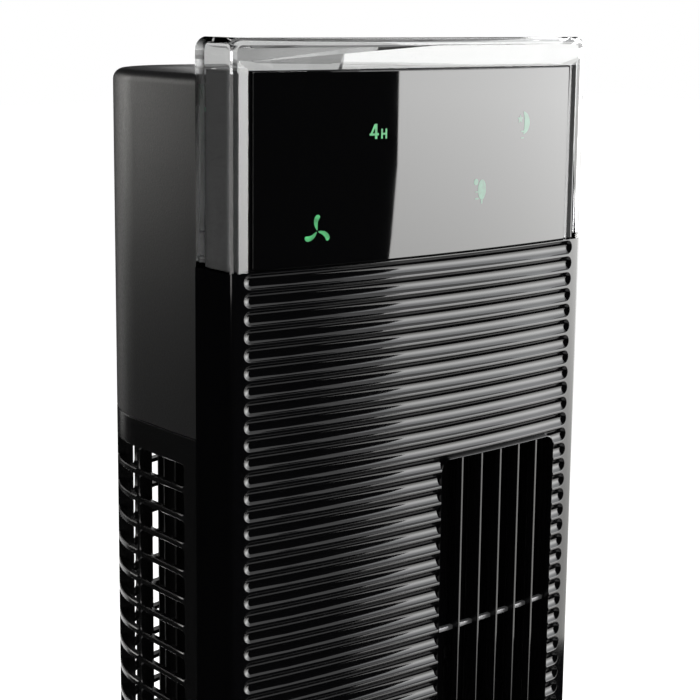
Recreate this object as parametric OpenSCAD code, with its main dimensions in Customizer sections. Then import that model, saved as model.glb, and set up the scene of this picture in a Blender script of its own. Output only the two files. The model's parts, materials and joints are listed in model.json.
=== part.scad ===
// Tower fan on a round base: a swinging column with a fluted front panel,
// a clear display cover, a crossflow impeller and a geared swing drive.
// Millimetres, +Z up, front towards -Y, origin on the floor at the swing axis.

/* [Overall] */
// Height from the floor to the top of the clear cover
total_h = 932; // [780:1:1120]
// Width of the front panel
body_w = 160; // [134:1:192]
// Depth from the crown of the front panel to the back of the shells
body_d = 112; // [110:1:134]
// Radius of the front panel's curve, seen from above
front_r = 584; // [480:4:700]
// Depth of the front panel's side walls, measured from its crown
panel_d = 26; // [22:1:32]
// Radius of the rear corners, seen from above
corner_r = 46; // [38:1:50]
// Step from the front panel's side to the rear shells' side
shell_step = 1.2; // [0.4:0.1:2]
// Wall of the moulded shells
wall = 2.5; // [2:0.1:3]

/* [Front panel] */
// Height from one flute to the next
flute_pitch = 6; // [5:0.5:8]
// Depth of a flute below the land between two flutes
flute_depth = 1.2; // [0.8:0.1:1.5]
// Width of the land between two flutes
flute_land = 0.7; // [0.5:0.1:1.2]
// Plain margin beside the flutes at each side
flute_margin = 4.6; // [3:0.2:8]
// Plain margin below the lowest flute, at least
panel_foot = 12; // [8:1:30]

/* [Air outlet] */
// Width of the outlet opening
outlet_w = 59.5; // [50:0.5:64]
// Distance from the outlet to the right side of the panel
outlet_side = 12.3; // [9:0.1:16]
// Distance from the top of the front panel down to the outlet
outlet_drop = 74.6; // [70:0.2:100]
// Corner radius of the outlet
outlet_r = 4; // [2:0.5:6]
// Flat lip round the outlet
outlet_lip = 1.1; // [0.8:0.1:2]
// Number of upright fins
fin_count = 5; // [3:1:7]
// Thickness of a fin
fin_t = 1; // [0.8:0.1:1.4]
// Depth of a fin from front to back
fin_d = 8; // [6:0.2:9]
// Distance from the panel's face back to the fins' front edges
fin_recess = 0.4; // [0.3:0.1:1]
// Height from one cross bar to the next, at least
bar_pitch = 62; // [40:1:90]
// Height and depth of a cross bar
bar_t = 1.8; // [1.2:0.1:2.5]
// Distance from the panel's face back to the bars' front edges
bar_recess = 3.2; // [2.8:0.1:5]

/* [Rear shells] */
// Distance from the top of the front panel down to the seam
seam_drop = 59.3; // [54:0.1:64]
// Distance from the top of the front panel down to the first slot
slot_drop = 69.7; // [66:0.1:80]
// Height from one slot to the next
slot_pitch = 10; // [8:0.5:13]
// Height of a slot
slot_h = 7.9; // [5:0.1:9]
// Distance from the shell's front edge to the first column of slots
slot_margin = 9.6; // [6:0.2:12]
// Width of an upright rib between slots
rib_w = 1.6; // [1.2:0.1:3]
// Depth of the ribs from the shell's outside inwards
rib_d = 5.6; // [3:0.1:7]
// Distance from the shell's front edge to the first rib
rib_front = 39; // [34:0.5:44]
// Distance from rib to rib round the corner
rib_pitch = 25.3; // [20:0.1:28]

/* [Display] */
// Height of the clear cover
cover_h = 75; // [66:1:84]
// Wall of the clear cover
cover_wall = 2.8; // [2.2:0.1:3.4]
// Corner radius of the clear cover, seen from the front
cover_r = 4.5; // [3.4:0.1:8]
// Width of the clear rim beside the display
cover_rim = 7.2; // [6:0.1:10]
// Depth of the inward flange along the cover's back edge
cover_flange = 3.5; // [2.5:0.1:5]
// Height of the clear cover above the rear housing
cover_rise = 12.2; // [8:0.2:14]
// Distance from the top of the clear cover down to the display's opening
display_drop = 10.4; // [8:0.2:14]
// Gap round the display panel
display_gap = 1.4; // [0.5:0.1:2]
// Thickness of the display panel
display_t = 2; // [1.5:0.1:3]
// Width and height of an icon's light guide
guide_w = 9.6; // [8:0.2:12]

/* [Keys] */
// Number of spaces between the middle key and the end key
key_spacing = 19; // [18:0.5:22]
// Radius of a key cap
key_r = 7; // [6:0.1:7.6]
// Clearance round a key
key_gap = 0.3; // [0.2:0.05:0.5]
// Travel of a key
key_travel = 0.8; // [0.4:0.1:1]
// Width of the sunk tray that holds the keys
tray_w = 30; // [26:1:36]
// Length of the sunk tray
tray_l = 100; // [96:1:112]
// Depth of the sunk tray
tray_d = 2.5; // [1.5:0.1:3]

/* [Impeller] */
// Radius of the impeller
imp_r = 44; // [38:0.5:45]
// Radial depth of the blades
blade_d = 9; // [7:0.5:10]
// Thickness of a blade
blade_t = 1; // [0.8:0.1:1.4]
// Number of blades
blade_count = 30; // [20:1:36]
// Length of one impeller section, at least
section_h = 110; // [80:5:140]
// Gap from the impeller's side to the left wall
imp_side_gap = 12.5; // [10:0.5:20]
// Running gap between the impeller and the wall where the scroll starts
scroll_gap = 4; // [3:0.5:6]
// Thickness of the scroll wall and the tongue
duct_t = 1.8; // [1.4:0.1:2.4]
// Radius of the impeller's top pin
pin_r = 3; // [2.5:0.1:4]

/* [Motor] */
// Radius of the motor housing
motor_r = 37; // [32:0.5:40]
// Height of the motor housing
motor_h = 62; // [50:1:72]
// Radius of the motor shaft
shaft_r = 4; // [3:0.1:5]
// Radial running clearance of shafts in their bushes
run_gap = 0.04; // [0.02:0.01:0.08]
// Height of the rubber dampers above the motor
damper_h = 12; // [8:1:16]
// Distance from the motor's underside down to the bottom cover
motor_room = 49; // [40:1:60]

/* [Swing drive] */
// Gear module of the swing gears
gear_m = 1.25; // [1:0.05:1.4]
// Teeth of the fixed gear
gear_teeth = 48; // [40:4:52]
// Teeth of the pinion
pinion_teeth = 12; // [12:1:14]
// Play between meshing teeth
backlash = 0.3; // [0.2:0.05:0.5]
// Height of the gear teeth
gear_h = 8; // [6:0.5:10]
// Radius of the swing motor
swing_motor_r = 17.5; // [14:0.5:18]
// Height of the swing motor
swing_motor_h = 20; // [16:1:26]
// Radius of the swing motor's shaft
swing_shaft_r = 2.5; // [2:0.1:3]
// Outer radius of the pivot post
post_r = 13; // [11:0.2:13.4]
// Wall of the pivot post
post_wall = 2.5; // [1.5:0.1:3]

/* [Base] */
// Diameter of the base
base_d = 300; // [250:1:360]
// Height of the base's platform under the neck
platform_z = 30; // [28:1:40]
// Radius of the platform
platform_r = 56; // [54:1:70]
// Height of the base's outer rim
rim_h = 12; // [11:0.5:16]
// Height of the feet below the base plate
foot_h = 3; // [2.6:0.2:6]
// Thickness of the base plate
plate_t = 2.5; // [2:0.1:3]
// Height of the ballast ring
ballast_h = 8; // [5:0.5:9]
// Radius of the neck
neck_r = 52; // [50:1:53]
// Height of the gap between platform and neck
neck_gap = 1; // [0.6:0.1:2]
// Height of the neck with that gap
neck_h = 30; // [28:1:40]
// Number of base feet and base screws
foot_count = 6; // [4:1:8]

/* [Hidden] */
$fn = 64;
eps = 0.01;
fit = 0.05;      // clearance of parts that are pressed or clipped together
seat = 0.3;      // clearance of loose parts inside the shells

// Levels, from the floor up
plate_z = foot_h;
plate_top = plate_z + plate_t;
body_z = platform_z + neck_h;
cover_t = 3;
floor_z = body_z + cover_t;
motor_z = floor_z + motor_room;
motor_top = motor_z + motor_h;
motor_plate_z = motor_top + damper_h;
bulk_t = 3;
imp_z = motor_plate_z + bulk_t + 5;
outlet_z = imp_z + 3.4;
panel_top = total_h - cover_h;
outlet_top = panel_top - outlet_drop;
top_plate_z = outlet_top + 6;
imp_top = top_plate_z - 3.4;
seam_z = panel_top - seam_drop;
housing_top = total_h - cover_rise;

// Depth positions
crown_y = -body_d / 2;
back_y = body_d / 2;
joint_y = crown_y + panel_d;
curve_y = crown_y + front_r;
side_x = body_w / 2;
side_wall = 2.2;
shell_x = side_x - shell_step;

// Outlet and impeller positions
outlet_x2 = side_x - outlet_side;
outlet_x1 = outlet_x2 - outlet_w;
outlet_h = outlet_top - outlet_z;
fin_pitch = outlet_w / (fin_count + 1);
bar_count = floor(outlet_h / bar_pitch) - 1;
bar_step = outlet_h / (bar_count + 1);
frame_t = fin_recess + fin_d - wall - 0.1;
imp_x = -shell_x + wall + imp_side_gap - 3 + imp_r - 0.7;
imp_y = 2;

// Flutes, slots and ribs
flute_count = floor((panel_top - floor_z - panel_foot) / flute_pitch);
flute_w = flute_pitch - flute_land;
flute_r = (pow(flute_w / 2, 2) + pow(flute_depth, 2)) / (2 * flute_depth);
flute_x = side_x - flute_margin;
slot_top = panel_top - slot_drop;
slot_rows = floor((slot_top - outlet_z) / slot_pitch);
slot_foot = slot_top - slot_rows * slot_pitch;
corner_x = shell_x - corner_r;
corner_y = back_y - corner_r;
arc_len = PI * corner_r / 2;
rib_side = corner_x + arc_len + corner_y - joint_y - rib_front;
rib_back = rib_side - 2 * rib_pitch;
RIBS = [rib_back / 2, rib_back, rib_back + rib_pitch, rib_side];

// How far back a layer of the front curve lies at a distance x from the middle
function arc_back(x, depth) = curve_y - sqrt(pow(front_r - depth, 2) - pow(x, 2));

module ring(r1, r2, z1, z2) {
    translate([0, 0, z1]) difference() {
        cylinder(r = r2, h = z2 - z1);
        translate([0, 0, -1]) cylinder(r = r1, h = z2 - z1 + 2);
    }
}

module disc(r, z1, z2) {
    translate([0, 0, z1]) cylinder(r = r, h = z2 - z1);
}

module box(x1, x2, y1, y2, z1, z2) {
    translate([x1, y1, z1]) cube([x2 - x1, y2 - y1, z2 - z1]);
}

// A rod along Y from y1 to y2
module rod_y(r, x, z, y1, y2) {
    translate([x, y1, z]) rotate([-90, 0, 0]) cylinder(r = r, h = y2 - y1);
}

// A layer parallel to the front curve, between two depths and two sides
module front_layer(d1, d2, x1, x2, z1, z2) {
    intersection() {
        translate([0, curve_y, z1]) difference() {
            cylinder(r = front_r - d1, h = z2 - z1, $fn = 200);
            translate([0, 0, -1]) cylinder(r = front_r - d2, h = z2 - z1 + 2, $fn = 200);
        }
        box(x1, x2, crown_y - 5, joint_y + 5, z1 - 1, z2 + 1);
    }
}

// Plan of the rear shells, moved inwards by inset, from y = front to the back
module shell_plan(inset = 0, front = 0) {
    y0 = joint_y + front;
    translate([-(shell_x - inset), y0]) square([2 * (shell_x - inset), corner_y - y0]);
    for (s = [-1, 1]) translate([s * corner_x, corner_y]) intersection() {
        circle(corner_r - inset);
        translate([-corner_r, -1]) square([2 * corner_r, corner_r + 1]);
    }
    translate([-corner_x, corner_y - 1]) square([2 * corner_x, corner_r - inset + 1]);
}

// Plan of the front panel's block, moved inwards by the given amounts
module front_plan(face = 0, side = 0) {
    intersection() {
        translate([0, curve_y]) circle(front_r - face, $fn = 200);
        translate([-(side_x - side), crown_y - 1]) square([2 * (side_x - side), panel_d + 1]);
    }
}

module outer_plan() {
    front_plan();
    shell_plan(0, -eps);
}

// Plan of the space inside the shells, less a gap
module inner_plan(gap) {
    front_plan(wall + gap, side_wall + gap);
    shell_plan(wall + gap, -1);
}

// Rounded opening through the front, grown by grow
module outlet_hole(grow, d1, d2) {
    x1 = outlet_x1 - grow;
    x2 = outlet_x2 + grow;
    z1 = outlet_z - grow;
    z2 = outlet_top + grow;
    r = outlet_r + grow;
    y1 = crown_y + d1;
    y2 = crown_y + d2;
    box(x1 + r, x2 - r, y1, y2, z1, z2);
    box(x1, x2, y1, y2, z1 + r, z2 - r);
    for (x = [x1 + r, x2 - r]) for (z = [z1 + r, z2 - r]) rod_y(r, x, z, y1, y2);
}

// ---- Base ----
base_r = base_d / 2;
shell_t = 2.5;
slope_r = base_r - 5;
boss_ring = base_r - 11;
foot_ring = base_r - 17;
socket = 1.2;
foot_r = 9;
screw_r = 1.5;
gear_hub_r = 28;
flange_r = 34;
flange_t = 4;
pivot_screw_ring = 21;
dome_drop = 5;

module base_shell() {
    color("#0c0c0e") difference() {
        union() {
            rotate_extrude($fn = 128) polygon([
                [post_r + fit, platform_z], [platform_r - 1, platform_z], [platform_r, platform_z - 1],
                [platform_r, platform_z - dome_drop], [slope_r - 30, plate_z + rim_h + 4],
                [slope_r, plate_z + rim_h + 1], [base_r - 1, plate_z + rim_h - 2], [base_r, plate_z + rim_h - 4],
                [base_r, plate_z], [base_r - shell_t, plate_z], [base_r - shell_t, plate_z + rim_h - 5],
                [slope_r - 1, plate_z + rim_h - 1.6], [slope_r - 30, plate_z + rim_h + 1.4],
                [platform_r - 2.5, platform_z - dome_drop - 2.6], [platform_r - 2.5, platform_z - 3],
                [post_r + fit, platform_z - 3]]);
            for (i = [0:foot_count - 1]) rotate(30 + i * 360 / foot_count)
                translate([boss_ring, 0, plate_top]) cylinder(r = 4, h = plate_z + rim_h - plate_top);
        }
        for (i = [0:foot_count - 1]) rotate(30 + i * 360 / foot_count)
            translate([boss_ring, 0, plate_top - 1]) cylinder(r = screw_r + fit, h = 8.6);
        for (a = [45:90:315]) rotate(a) translate([pivot_screw_ring, 0, 0]) cylinder(r = 2.1, h = 60);
    }
}

module base_plate() {
    color("#1b1b1d") difference() {
        disc(base_r - shell_t - seat, plate_z, plate_top);
        for (i = [0:foot_count - 1]) rotate(i * 360 / foot_count)
            translate([foot_ring, 0, plate_z - 1]) cylinder(r = foot_r + 0.1, h = socket + 1);
        for (i = [0:foot_count - 1]) rotate(30 + i * 360 / foot_count)
            translate([boss_ring, 0, plate_z - 1]) cylinder(r = screw_r + 0.2, h = plate_t + 2);
    }
}

module ballast() {
    color("#5a5c60") ring(platform_r + 10, boss_ring - 9, plate_top, plate_top + ballast_h);
}

module feet() {
    color("#151515") for (i = [0:foot_count - 1]) rotate(i * 360 / foot_count)
        translate([foot_ring, 0, 0]) cylinder(r = foot_r, h = plate_z + socket);
}

module base_screws() {
    color("#b8babd") for (i = [0:foot_count - 1]) rotate(30 + i * 360 / foot_count)
        translate([boss_ring, 0, 0]) {
            disc(3.2, plate_z - 1.8, plate_z);
            disc(screw_r, plate_z - 0.5, plate_top + 7);
        }
}

inlet_r = 5;
inlet_z = floor_z + 20;
module cord_inlet() {
    color("#151515") difference() {
        union() {
            rod_y(inlet_r, 0, inlet_z, back_y - wall - 3, back_y - 0.2);
            rod_y(inlet_r + 2, 0, inlet_z, back_y - wall - 2, back_y - wall - 0.1);
        }
        rod_y(inlet_r - 1.5, 0, inlet_z, back_y - 9, back_y + 1);
    }
}

// ---- Swing pivot ----
gear_z = platform_z + 6;
gear_top = gear_z + gear_h;
washer_t = 1.5;
hub_z = gear_top + washer_t;
bush_t = 2.5;
hub_bore = post_r + run_gap + bush_t + fit;
hub_r = post_r + 6;
hub_top = body_z + 10;
clip_z = hub_top + seat + washer_t;
clip_t = 1.4;
clip_bite = 0.8;
post_top = clip_z + clip_t + 4;

module pivot_post() {
    color("#a9acb0") difference() {
        union() {
            disc(flange_r, platform_z - 3 - flange_t, platform_z - 3);
            disc(post_r, platform_z - 3 - flange_t, post_top);
        }
        disc(post_r - post_wall, 0, post_top + 1);
        ring(post_r - clip_bite, post_r + 5, clip_z - fit, clip_z + clip_t + fit);
        for (a = [45:90:315]) rotate(a) translate([pivot_screw_ring, 0, 0]) cylinder(r = 2.1, h = platform_z - 3);
    }
}

module pivot_screws() {
    color("#b8babd") for (a = [45:90:315]) rotate(a) translate([pivot_screw_ring, 0, 0]) {
        disc(3.6, platform_z - 3 - flange_t - 2.4, platform_z - 3 - flange_t);
        disc(2, platform_z - 4 - flange_t, platform_z + 5);
    }
}

// Involute tooth outline: half the tooth's angle at radius r, in degrees
function inv_deg(a) = tan(a) * 180 / PI - a;
function half_angle(r, n, m) =
    let (rp = n * m / 2, rb = rp * cos(20), a = r > rb ? acos(rb / r) : 0)
    90 / n - backlash / rp / 4 * 180 / PI + inv_deg(20) - inv_deg(a);
function tooth(n, m, add) =
    let (rp = n * m / 2, r0 = rp - 1.25 * m, r1 = rp + add * m, steps = 5,
        rs = [for (i = [0:steps]) max(r0, rp * cos(20)) + (r1 - max(r0, rp * cos(20))) * i / steps])
    concat([[r0, -half_angle(rs[0], n, m)]],
        [for (i = [0:steps]) [rs[i], -half_angle(rs[i], n, m)]],
        [for (i = [steps:-1:0]) [rs[i], half_angle(rs[i], n, m)]],
        [[r0, half_angle(rs[0], n, m)]]);
module gear_plan(n, m, add) {
    t = tooth(n, m, add);
    polygon([for (k = [0:n - 1]) for (p = t)
        [p[0] * cos(p[1] + k * 360 / n), p[0] * sin(p[1] + k * 360 / n)]]);
}

gear_add = 0.7;
pinion_add = 0.9;
pinion_x = (gear_teeth + pinion_teeth) * gear_m / 2;
pinion_r = pinion_teeth * gear_m / 2 + pinion_add * gear_m;

module fixed_gear() {
    color("#e6e4dc") difference() {
        union() {
            disc(gear_hub_r, platform_z, gear_z);
            translate([0, 0, gear_z]) rotate(180 / gear_teeth) linear_extrude(gear_h)
                gear_plan(gear_teeth, gear_m, gear_add);
        }
        disc(post_r + 0.2, 0, gear_top + 1);
        for (a = [45:90:315]) rotate(a) translate([pivot_screw_ring, 0, 0]) cylinder(r = 2 + fit, h = platform_z + 5.2);
    }
}

module thrust_washer() {
    color("#f0eee6") ring(post_r + 0.6, hub_r + 4, gear_top, hub_z);
}

module retaining_washer() {
    color("#a9acb0") ring(post_r + 0.1, hub_r - 0.5, hub_top + seat, clip_z);
}

module circlip() {
    color("#8d9095") difference() {
        ring(post_r - clip_bite + fit, post_r + 3, clip_z, clip_z + clip_t);
        box(-4, 4, -post_r - 5, 0, clip_z - 1, clip_z + clip_t + 1);
    }
}

module pivot_bush() {
    color("#f0eee6") ring(post_r + run_gap, hub_bore - fit, hub_z, hub_top);
}

neck_wall = 2.5;
neck_z = platform_z + neck_gap;
neck_screw_ring = 40;
neck_screw_angles = [55, 125, 235, 305];
pinion_hole_r = pinion_r + 1;

module neck() {
    color("#0c0c0e") difference() {
        union() {
            ring(neck_r - neck_wall, neck_r, neck_z, body_z);
            disc(neck_r, body_z - 3, body_z);
            disc(hub_r + 4, hub_z, body_z);
            disc(hub_r, hub_z, hub_top);
        }
        disc(hub_bore, 0, hub_top + 1);
        translate([pinion_x, 0, 0]) cylinder(r = pinion_hole_r, h = body_z + 1);
        for (a = neck_screw_angles) rotate(a) translate([neck_screw_ring, 0, 0]) cylinder(r = 2.1, h = body_z + 1);
    }
}

module neck_screws() {
    color("#b8babd") for (a = neck_screw_angles) rotate(a) translate([neck_screw_ring, 0, 0]) {
        disc(3.4, body_z - 5.2, body_z - 3);
        disc(2, body_z - 3.5, body_z + 8);
    }
}

module bottom_cover() {
    color("#1b1b1d") difference() {
        union() {
            translate([0, 0, body_z]) linear_extrude(cover_t) outer_plan();
            translate([0, 0, floor_z]) linear_extrude(6) difference() {
                inner_plan(seat);
                inner_plan(seat + 2);
            }
            for (a = neck_screw_angles) rotate(a) translate([neck_screw_ring, 0, body_z]) cylinder(r = 5, h = 9);
            for (x = [-30, 30]) rod_y(4, x, floor_z + 4, back_y - 12, back_y - wall - seat);
            for (p = swing_screw_spots) translate([p[0], p[1], floor_z - 1]) cylinder(r = 3.4, h = 5);
            for (p = board_spots) translate([p[0], p[1], floor_z - 1]) cylinder(r = 3, h = 7);
        }
        disc(hub_r + seat, 0, 200);
        translate([pinion_x, 0, 0]) cylinder(r = pinion_hole_r, h = 200);
        for (a = neck_screw_angles) rotate(a) translate([neck_screw_ring, 0, 0]) cylinder(r = 2 + fit, h = body_z + 8.2);
        for (x = [-30, 30]) rod_y(1.4 + fit, x, floor_z + 4, back_y - 11, back_y);
        for (p = swing_screw_spots) translate([p[0], p[1], body_z + 1]) cylinder(r = screw_r + fit, h = 30);
    }
}

// ---- Swing motor ----
swing_screw_spots = [for (s = [-1, 1]) [pinion_x, s * (swing_motor_r + 4)]];
swing_seat = floor_z;
module swing_motor() {
    color("#c9ccd0") difference() {
        union() {
            translate([pinion_x, 0, 0]) disc(swing_motor_r, swing_seat, swing_seat + swing_motor_h);
            for (p = swing_screw_spots) translate([p[0], p[1], floor_z + 4]) cylinder(r = 3.6, h = 1);
            box(pinion_x - 3.6, pinion_x + 3.6, swing_screw_spots[0][1], swing_screw_spots[1][1], floor_z + 4, floor_z + 5);
        }
        translate([pinion_x, 0, 0]) disc(swing_shaft_r + run_gap, 0, swing_seat + swing_motor_h - 3);
        for (p = swing_screw_spots) translate([p[0], p[1], 0]) cylinder(r = screw_r + 0.2, h = 200);
    }
}

module swing_motor_screws() {
    color("#b8babd") for (p = swing_screw_spots) translate([p[0], p[1], 0]) {
        disc(3, floor_z + 5, floor_z + 6.8);
        disc(screw_r, body_z + 1.5, floor_z + 5.5);
    }
}

module swing_pinion() {
    color("#f0eee6") translate([pinion_x, 0, 0]) difference() {
        union() {
            translate([0, 0, gear_z - 0.5]) linear_extrude(gear_h + 1) gear_plan(pinion_teeth, gear_m, pinion_add);
            disc(swing_shaft_r + 2, gear_top, floor_z - 0.4);
        }
        disc(swing_shaft_r + 0.02, 0, 200);
    }
}

module pinion_shaft() {
    color("#a9acb0") translate([pinion_x, 0, 0]) disc(swing_shaft_r, gear_z, swing_seat + swing_motor_h - 3.5);
}

// ---- Electrics in the foot of the column ----
board_x = -(side_x - 36);
board_y = 0;
board_l = 42;
board_w = 48;
board_z = floor_z + 6;
board_spots = [for (sx = [-1, 1]) for (sy = [-1, 1]) [board_x + sx * 10, board_y + sy * 20]];
module power_board() {
    color("#2f6b45") box(-(side_x - 10), -(side_x - 10) + board_l, board_y - board_w / 2, board_y + board_w / 2,
        board_z, board_z + 1.6);
}

module power_parts() {
    z = board_z + 1.6;
    color("#d8cf9a") {
        box(board_x - 12, board_x + 8, board_y - 22, board_y - 2, z, z + 18);
        box(board_x - 12, board_x - 2, board_y + 4, board_y + 22, z, z + 14);
        translate([board_x + 6, board_y + 10, 0]) disc(5, z, z + 16);
    }
}

module capacitor() {
    color("#e9e7e0") box(-16, 16, 26, 42, floor_z, floor_z + 26);
}

// ---- Motor ----
module at_impeller() {
    translate([imp_x, imp_y, 0]) children();
}
damper_ring = motor_r - 9;
damper_angles = [45:90:315];
motor_bush_r = shaft_r + 4;

module motor_plate() {
    color("#2a2c2e") difference() {
        union() {
            translate([0, 0, motor_plate_z]) linear_extrude(bulk_t) inner_plan(seat);
            for (x = [-30, 30]) rod_y(4, x, motor_plate_z + bulk_t / 2, back_y - 12, back_y - wall - seat);
        }
        at_impeller() disc(shaft_r + 3, 0, total_h);
        at_impeller() for (a = damper_angles) rotate(a) translate([damper_ring, 0, 0]) disc(2.2, 0, total_h);
        for (x = [-30, 30]) rod_y(1.4 + fit, x, motor_plate_z + bulk_t / 2, back_y - 11, back_y);
        translate([harness_x, harness_y, 0]) disc(harness_r + seat, 0, total_h);
    }
}

module motor_housing() {
    color("#9b9ea3") at_impeller() difference() {
        union() {
            disc(motor_r, motor_z, motor_top);
            disc(motor_bush_r + 2, motor_z - 4, motor_top + 4);
        }
        disc(motor_r - 1.5, motor_z + 2, motor_top - 2);
        disc(motor_bush_r + fit, motor_z - 3, motor_top + 3);
        disc(shaft_r + 0.5, 0, total_h);
        for (a = damper_angles) rotate(a) translate([damper_ring, 0, 0]) disc(2 + fit, motor_top - 4, total_h);
    }
}

module motor_stator() {
    color("#7d8086") at_impeller() ring(motor_r - 13.5, motor_r - 1.5 - fit, motor_z + 14, motor_top - 14);
}

module motor_windings() {
    color("#b4672f") at_impeller() {
        ring(motor_r - 12, motor_r - 4, motor_z + 6, motor_z + 14);
        ring(motor_r - 12, motor_r - 4, motor_top - 14, motor_top - 6);
    }
}

module motor_bushes() {
    color("#b08d4a") at_impeller() {
        ring(shaft_r + run_gap, motor_bush_r, motor_z - 3, motor_z + 4);
        ring(shaft_r + run_gap, motor_bush_r, motor_top - 4, motor_top + 3);
    }
}

module motor_dampers() {
    color("#151515") at_impeller() for (a = damper_angles) rotate(a) translate([damper_ring, 0, 0])
        ring(2.2, 5, motor_top, motor_plate_z);
}

module motor_screws() {
    color("#b8babd") at_impeller() for (a = damper_angles) rotate(a) translate([damper_ring, 0, 0]) {
        disc(3.4, motor_plate_z + bulk_t, motor_plate_z + bulk_t + 2);
        disc(2, motor_top - 3.5, motor_plate_z + bulk_t + 1);
    }
}

module motor_rotor() {
    color("#84878c") at_impeller() ring(shaft_r + 0.02, motor_r - 14, motor_z + 13, motor_top - 13);
}

module motor_shaft() {
    color("#a9acb0") at_impeller() disc(shaft_r, motor_z - 5, imp_z + 12);
}

// ---- Impeller ----
imp_len = imp_top - imp_z;
section_count = floor(imp_len / section_h);
section_step = (imp_len - 2) / section_count;
blade_arc = 8;

module blade_plan() {
    mid = imp_r - blade_d / 2;
    intersection() {
        translate([mid, blade_arc - 2]) difference() {
            circle(blade_arc + blade_t / 2);
            circle(blade_arc - blade_t / 2);
        }
        difference() {
            circle(imp_r - 0.3);
            circle(imp_r - blade_d);
        }
        translate([mid - 8, -5]) square([16, 3 + blade_arc]);
    }
}

module impeller() {
    color("#202226") at_impeller() difference() {
        union() {
            translate([0, 0, imp_z + 1]) linear_extrude(imp_len - 2)
                for (k = [0:blade_count - 1]) rotate(k * 360 / blade_count) blade_plan();
            disc(imp_r, imp_z, imp_z + 2);
            disc(imp_r, imp_top - 2, imp_top);
            for (k = [1:section_count - 1]) ring(imp_r - blade_d - 4, imp_r,
                imp_z + k * section_step, imp_z + k * section_step + 2);
            disc(12, imp_z - 2, imp_z + 13);
            disc(9, imp_top - 10, imp_top);
        }
        disc(shaft_r + 0.02, 0, imp_z + 12.1);
        disc(pin_r + 0.02, imp_top - 8, total_h);
        translate([0, 0, imp_z + 7]) rotate([0, 90, 0]) cylinder(r = 2 + fit, h = 13);
    }
}

module impeller_set_screw() {
    color("#8d9095") at_impeller() translate([shaft_r + 0.1, 0, imp_z + 7]) rotate([0, 90, 0])
        cylinder(r = 2, h = 7);
}

module top_pin() {
    color("#a9acb0") at_impeller() disc(pin_r, imp_top - 8, top_plate_z + bulk_t + 9);
}

mount_r = pin_r + 9;
module top_plate() {
    z = top_plate_z + bulk_t;
    color("#2a2c2e") difference() {
        union() {
            translate([0, 0, top_plate_z]) linear_extrude(bulk_t) inner_plan(seat);
            at_impeller() disc(mount_r + 2.5, z - 1, z + 9);
            for (x = [-30, 30]) {
                rod_y(4, x, seam_z + 6, back_y - 12, back_y - wall - seat);
                box(x - 3, x + 3, back_y - 10, back_y - wall - seat, z - 1, seam_z + 6);
            }
        }
        at_impeller() disc(pin_r + 6, 0, total_h);
        at_impeller() disc(mount_r + fit, top_plate_z + 1.6, total_h);
        for (x = [-30, 30]) rod_y(1.4 + fit, x, seam_z + 6, back_y - 11, back_y);
        translate([harness_x, harness_y, 0]) disc(harness_r + seat, 0, total_h);
    }
}

module top_bush() {
    color("#b08d4a") at_impeller() ring(pin_r + run_gap, pin_r + 4, top_plate_z + 1.6, top_plate_z + bulk_t + 8);
}

module bush_mount() {
    color("#151515") at_impeller() ring(pin_r + 4 + fit, mount_r, top_plate_z + 1.6, top_plate_z + bulk_t + 8.5);
}

// ---- Air duct ----
duct_z1 = motor_plate_z + bulk_t;
duct_z2 = top_plate_z;
scroll_a1 = 75;
duct_x = outlet_x2 + seat;
duct_y = imp_y - 14;
scroll_a2 = atan2(duct_y - imp_y, duct_x - imp_x);
scroll_r1 = imp_r + scroll_gap;
scroll_r2 = norm([duct_x - imp_x, duct_y - imp_y]);
scroll_steps = 20;
function scroll_at(t, off) =
    let (a = scroll_a1 + (scroll_a2 - scroll_a1) * t, r = scroll_r1 * pow(scroll_r2 / scroll_r1, t) + off)
    [imp_x + r * cos(a), imp_y + r * sin(a)];

module scroll_wall() {
    end_y = arc_back(duct_x + duct_t, wall + frame_t + 0.1) + seat;
    color("#1b1b1d") translate([0, 0, duct_z1]) linear_extrude(duct_z2 - duct_z1) polygon(concat(
        [for (i = [0:scroll_steps]) scroll_at(i / scroll_steps, 0)],
        [[duct_x, end_y], [duct_x + duct_t, end_y], [duct_x + duct_t, duct_y]],
        [for (i = [scroll_steps - 1:-1:0]) scroll_at(i / scroll_steps, duct_t)]));
}

tongue_a = -62;
module tongue() {
    tip = [imp_x + (scroll_r1 + 1.5) * cos(tongue_a), imp_y + (scroll_r1 + 1.5) * sin(tongue_a)];
    foot_y = arc_back(outlet_x1, wall + frame_t + 0.1) + seat;
    color("#1b1b1d") translate([0, 0, duct_z1]) linear_extrude(duct_z2 - duct_z1) {
        translate(tip) circle(1.5);
        polygon([[outlet_x1 - seat, foot_y], [tip[0] + 1.5, tip[1]], [tip[0] - 1.5, tip[1]],
            [outlet_x1 - seat - 3, foot_y]]);
    }
}

// ---- Front panel ----
module flutes() {
    half = asin(flute_x / front_r);
    off = front_r + flute_r - flute_depth;
    translate([0, curve_y, 0]) rotate(-90 - half) rotate_extrude(angle = 2 * half, $fn = 400)
        for (i = [0:flute_count - 1]) translate([off, panel_top - (i + 0.5) * flute_pitch]) intersection() {
            circle(flute_r, $fn = 40);
            translate([-flute_r - 1, -flute_w / 2]) square([flute_depth + 1.5, flute_w]);
        }
}

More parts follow.
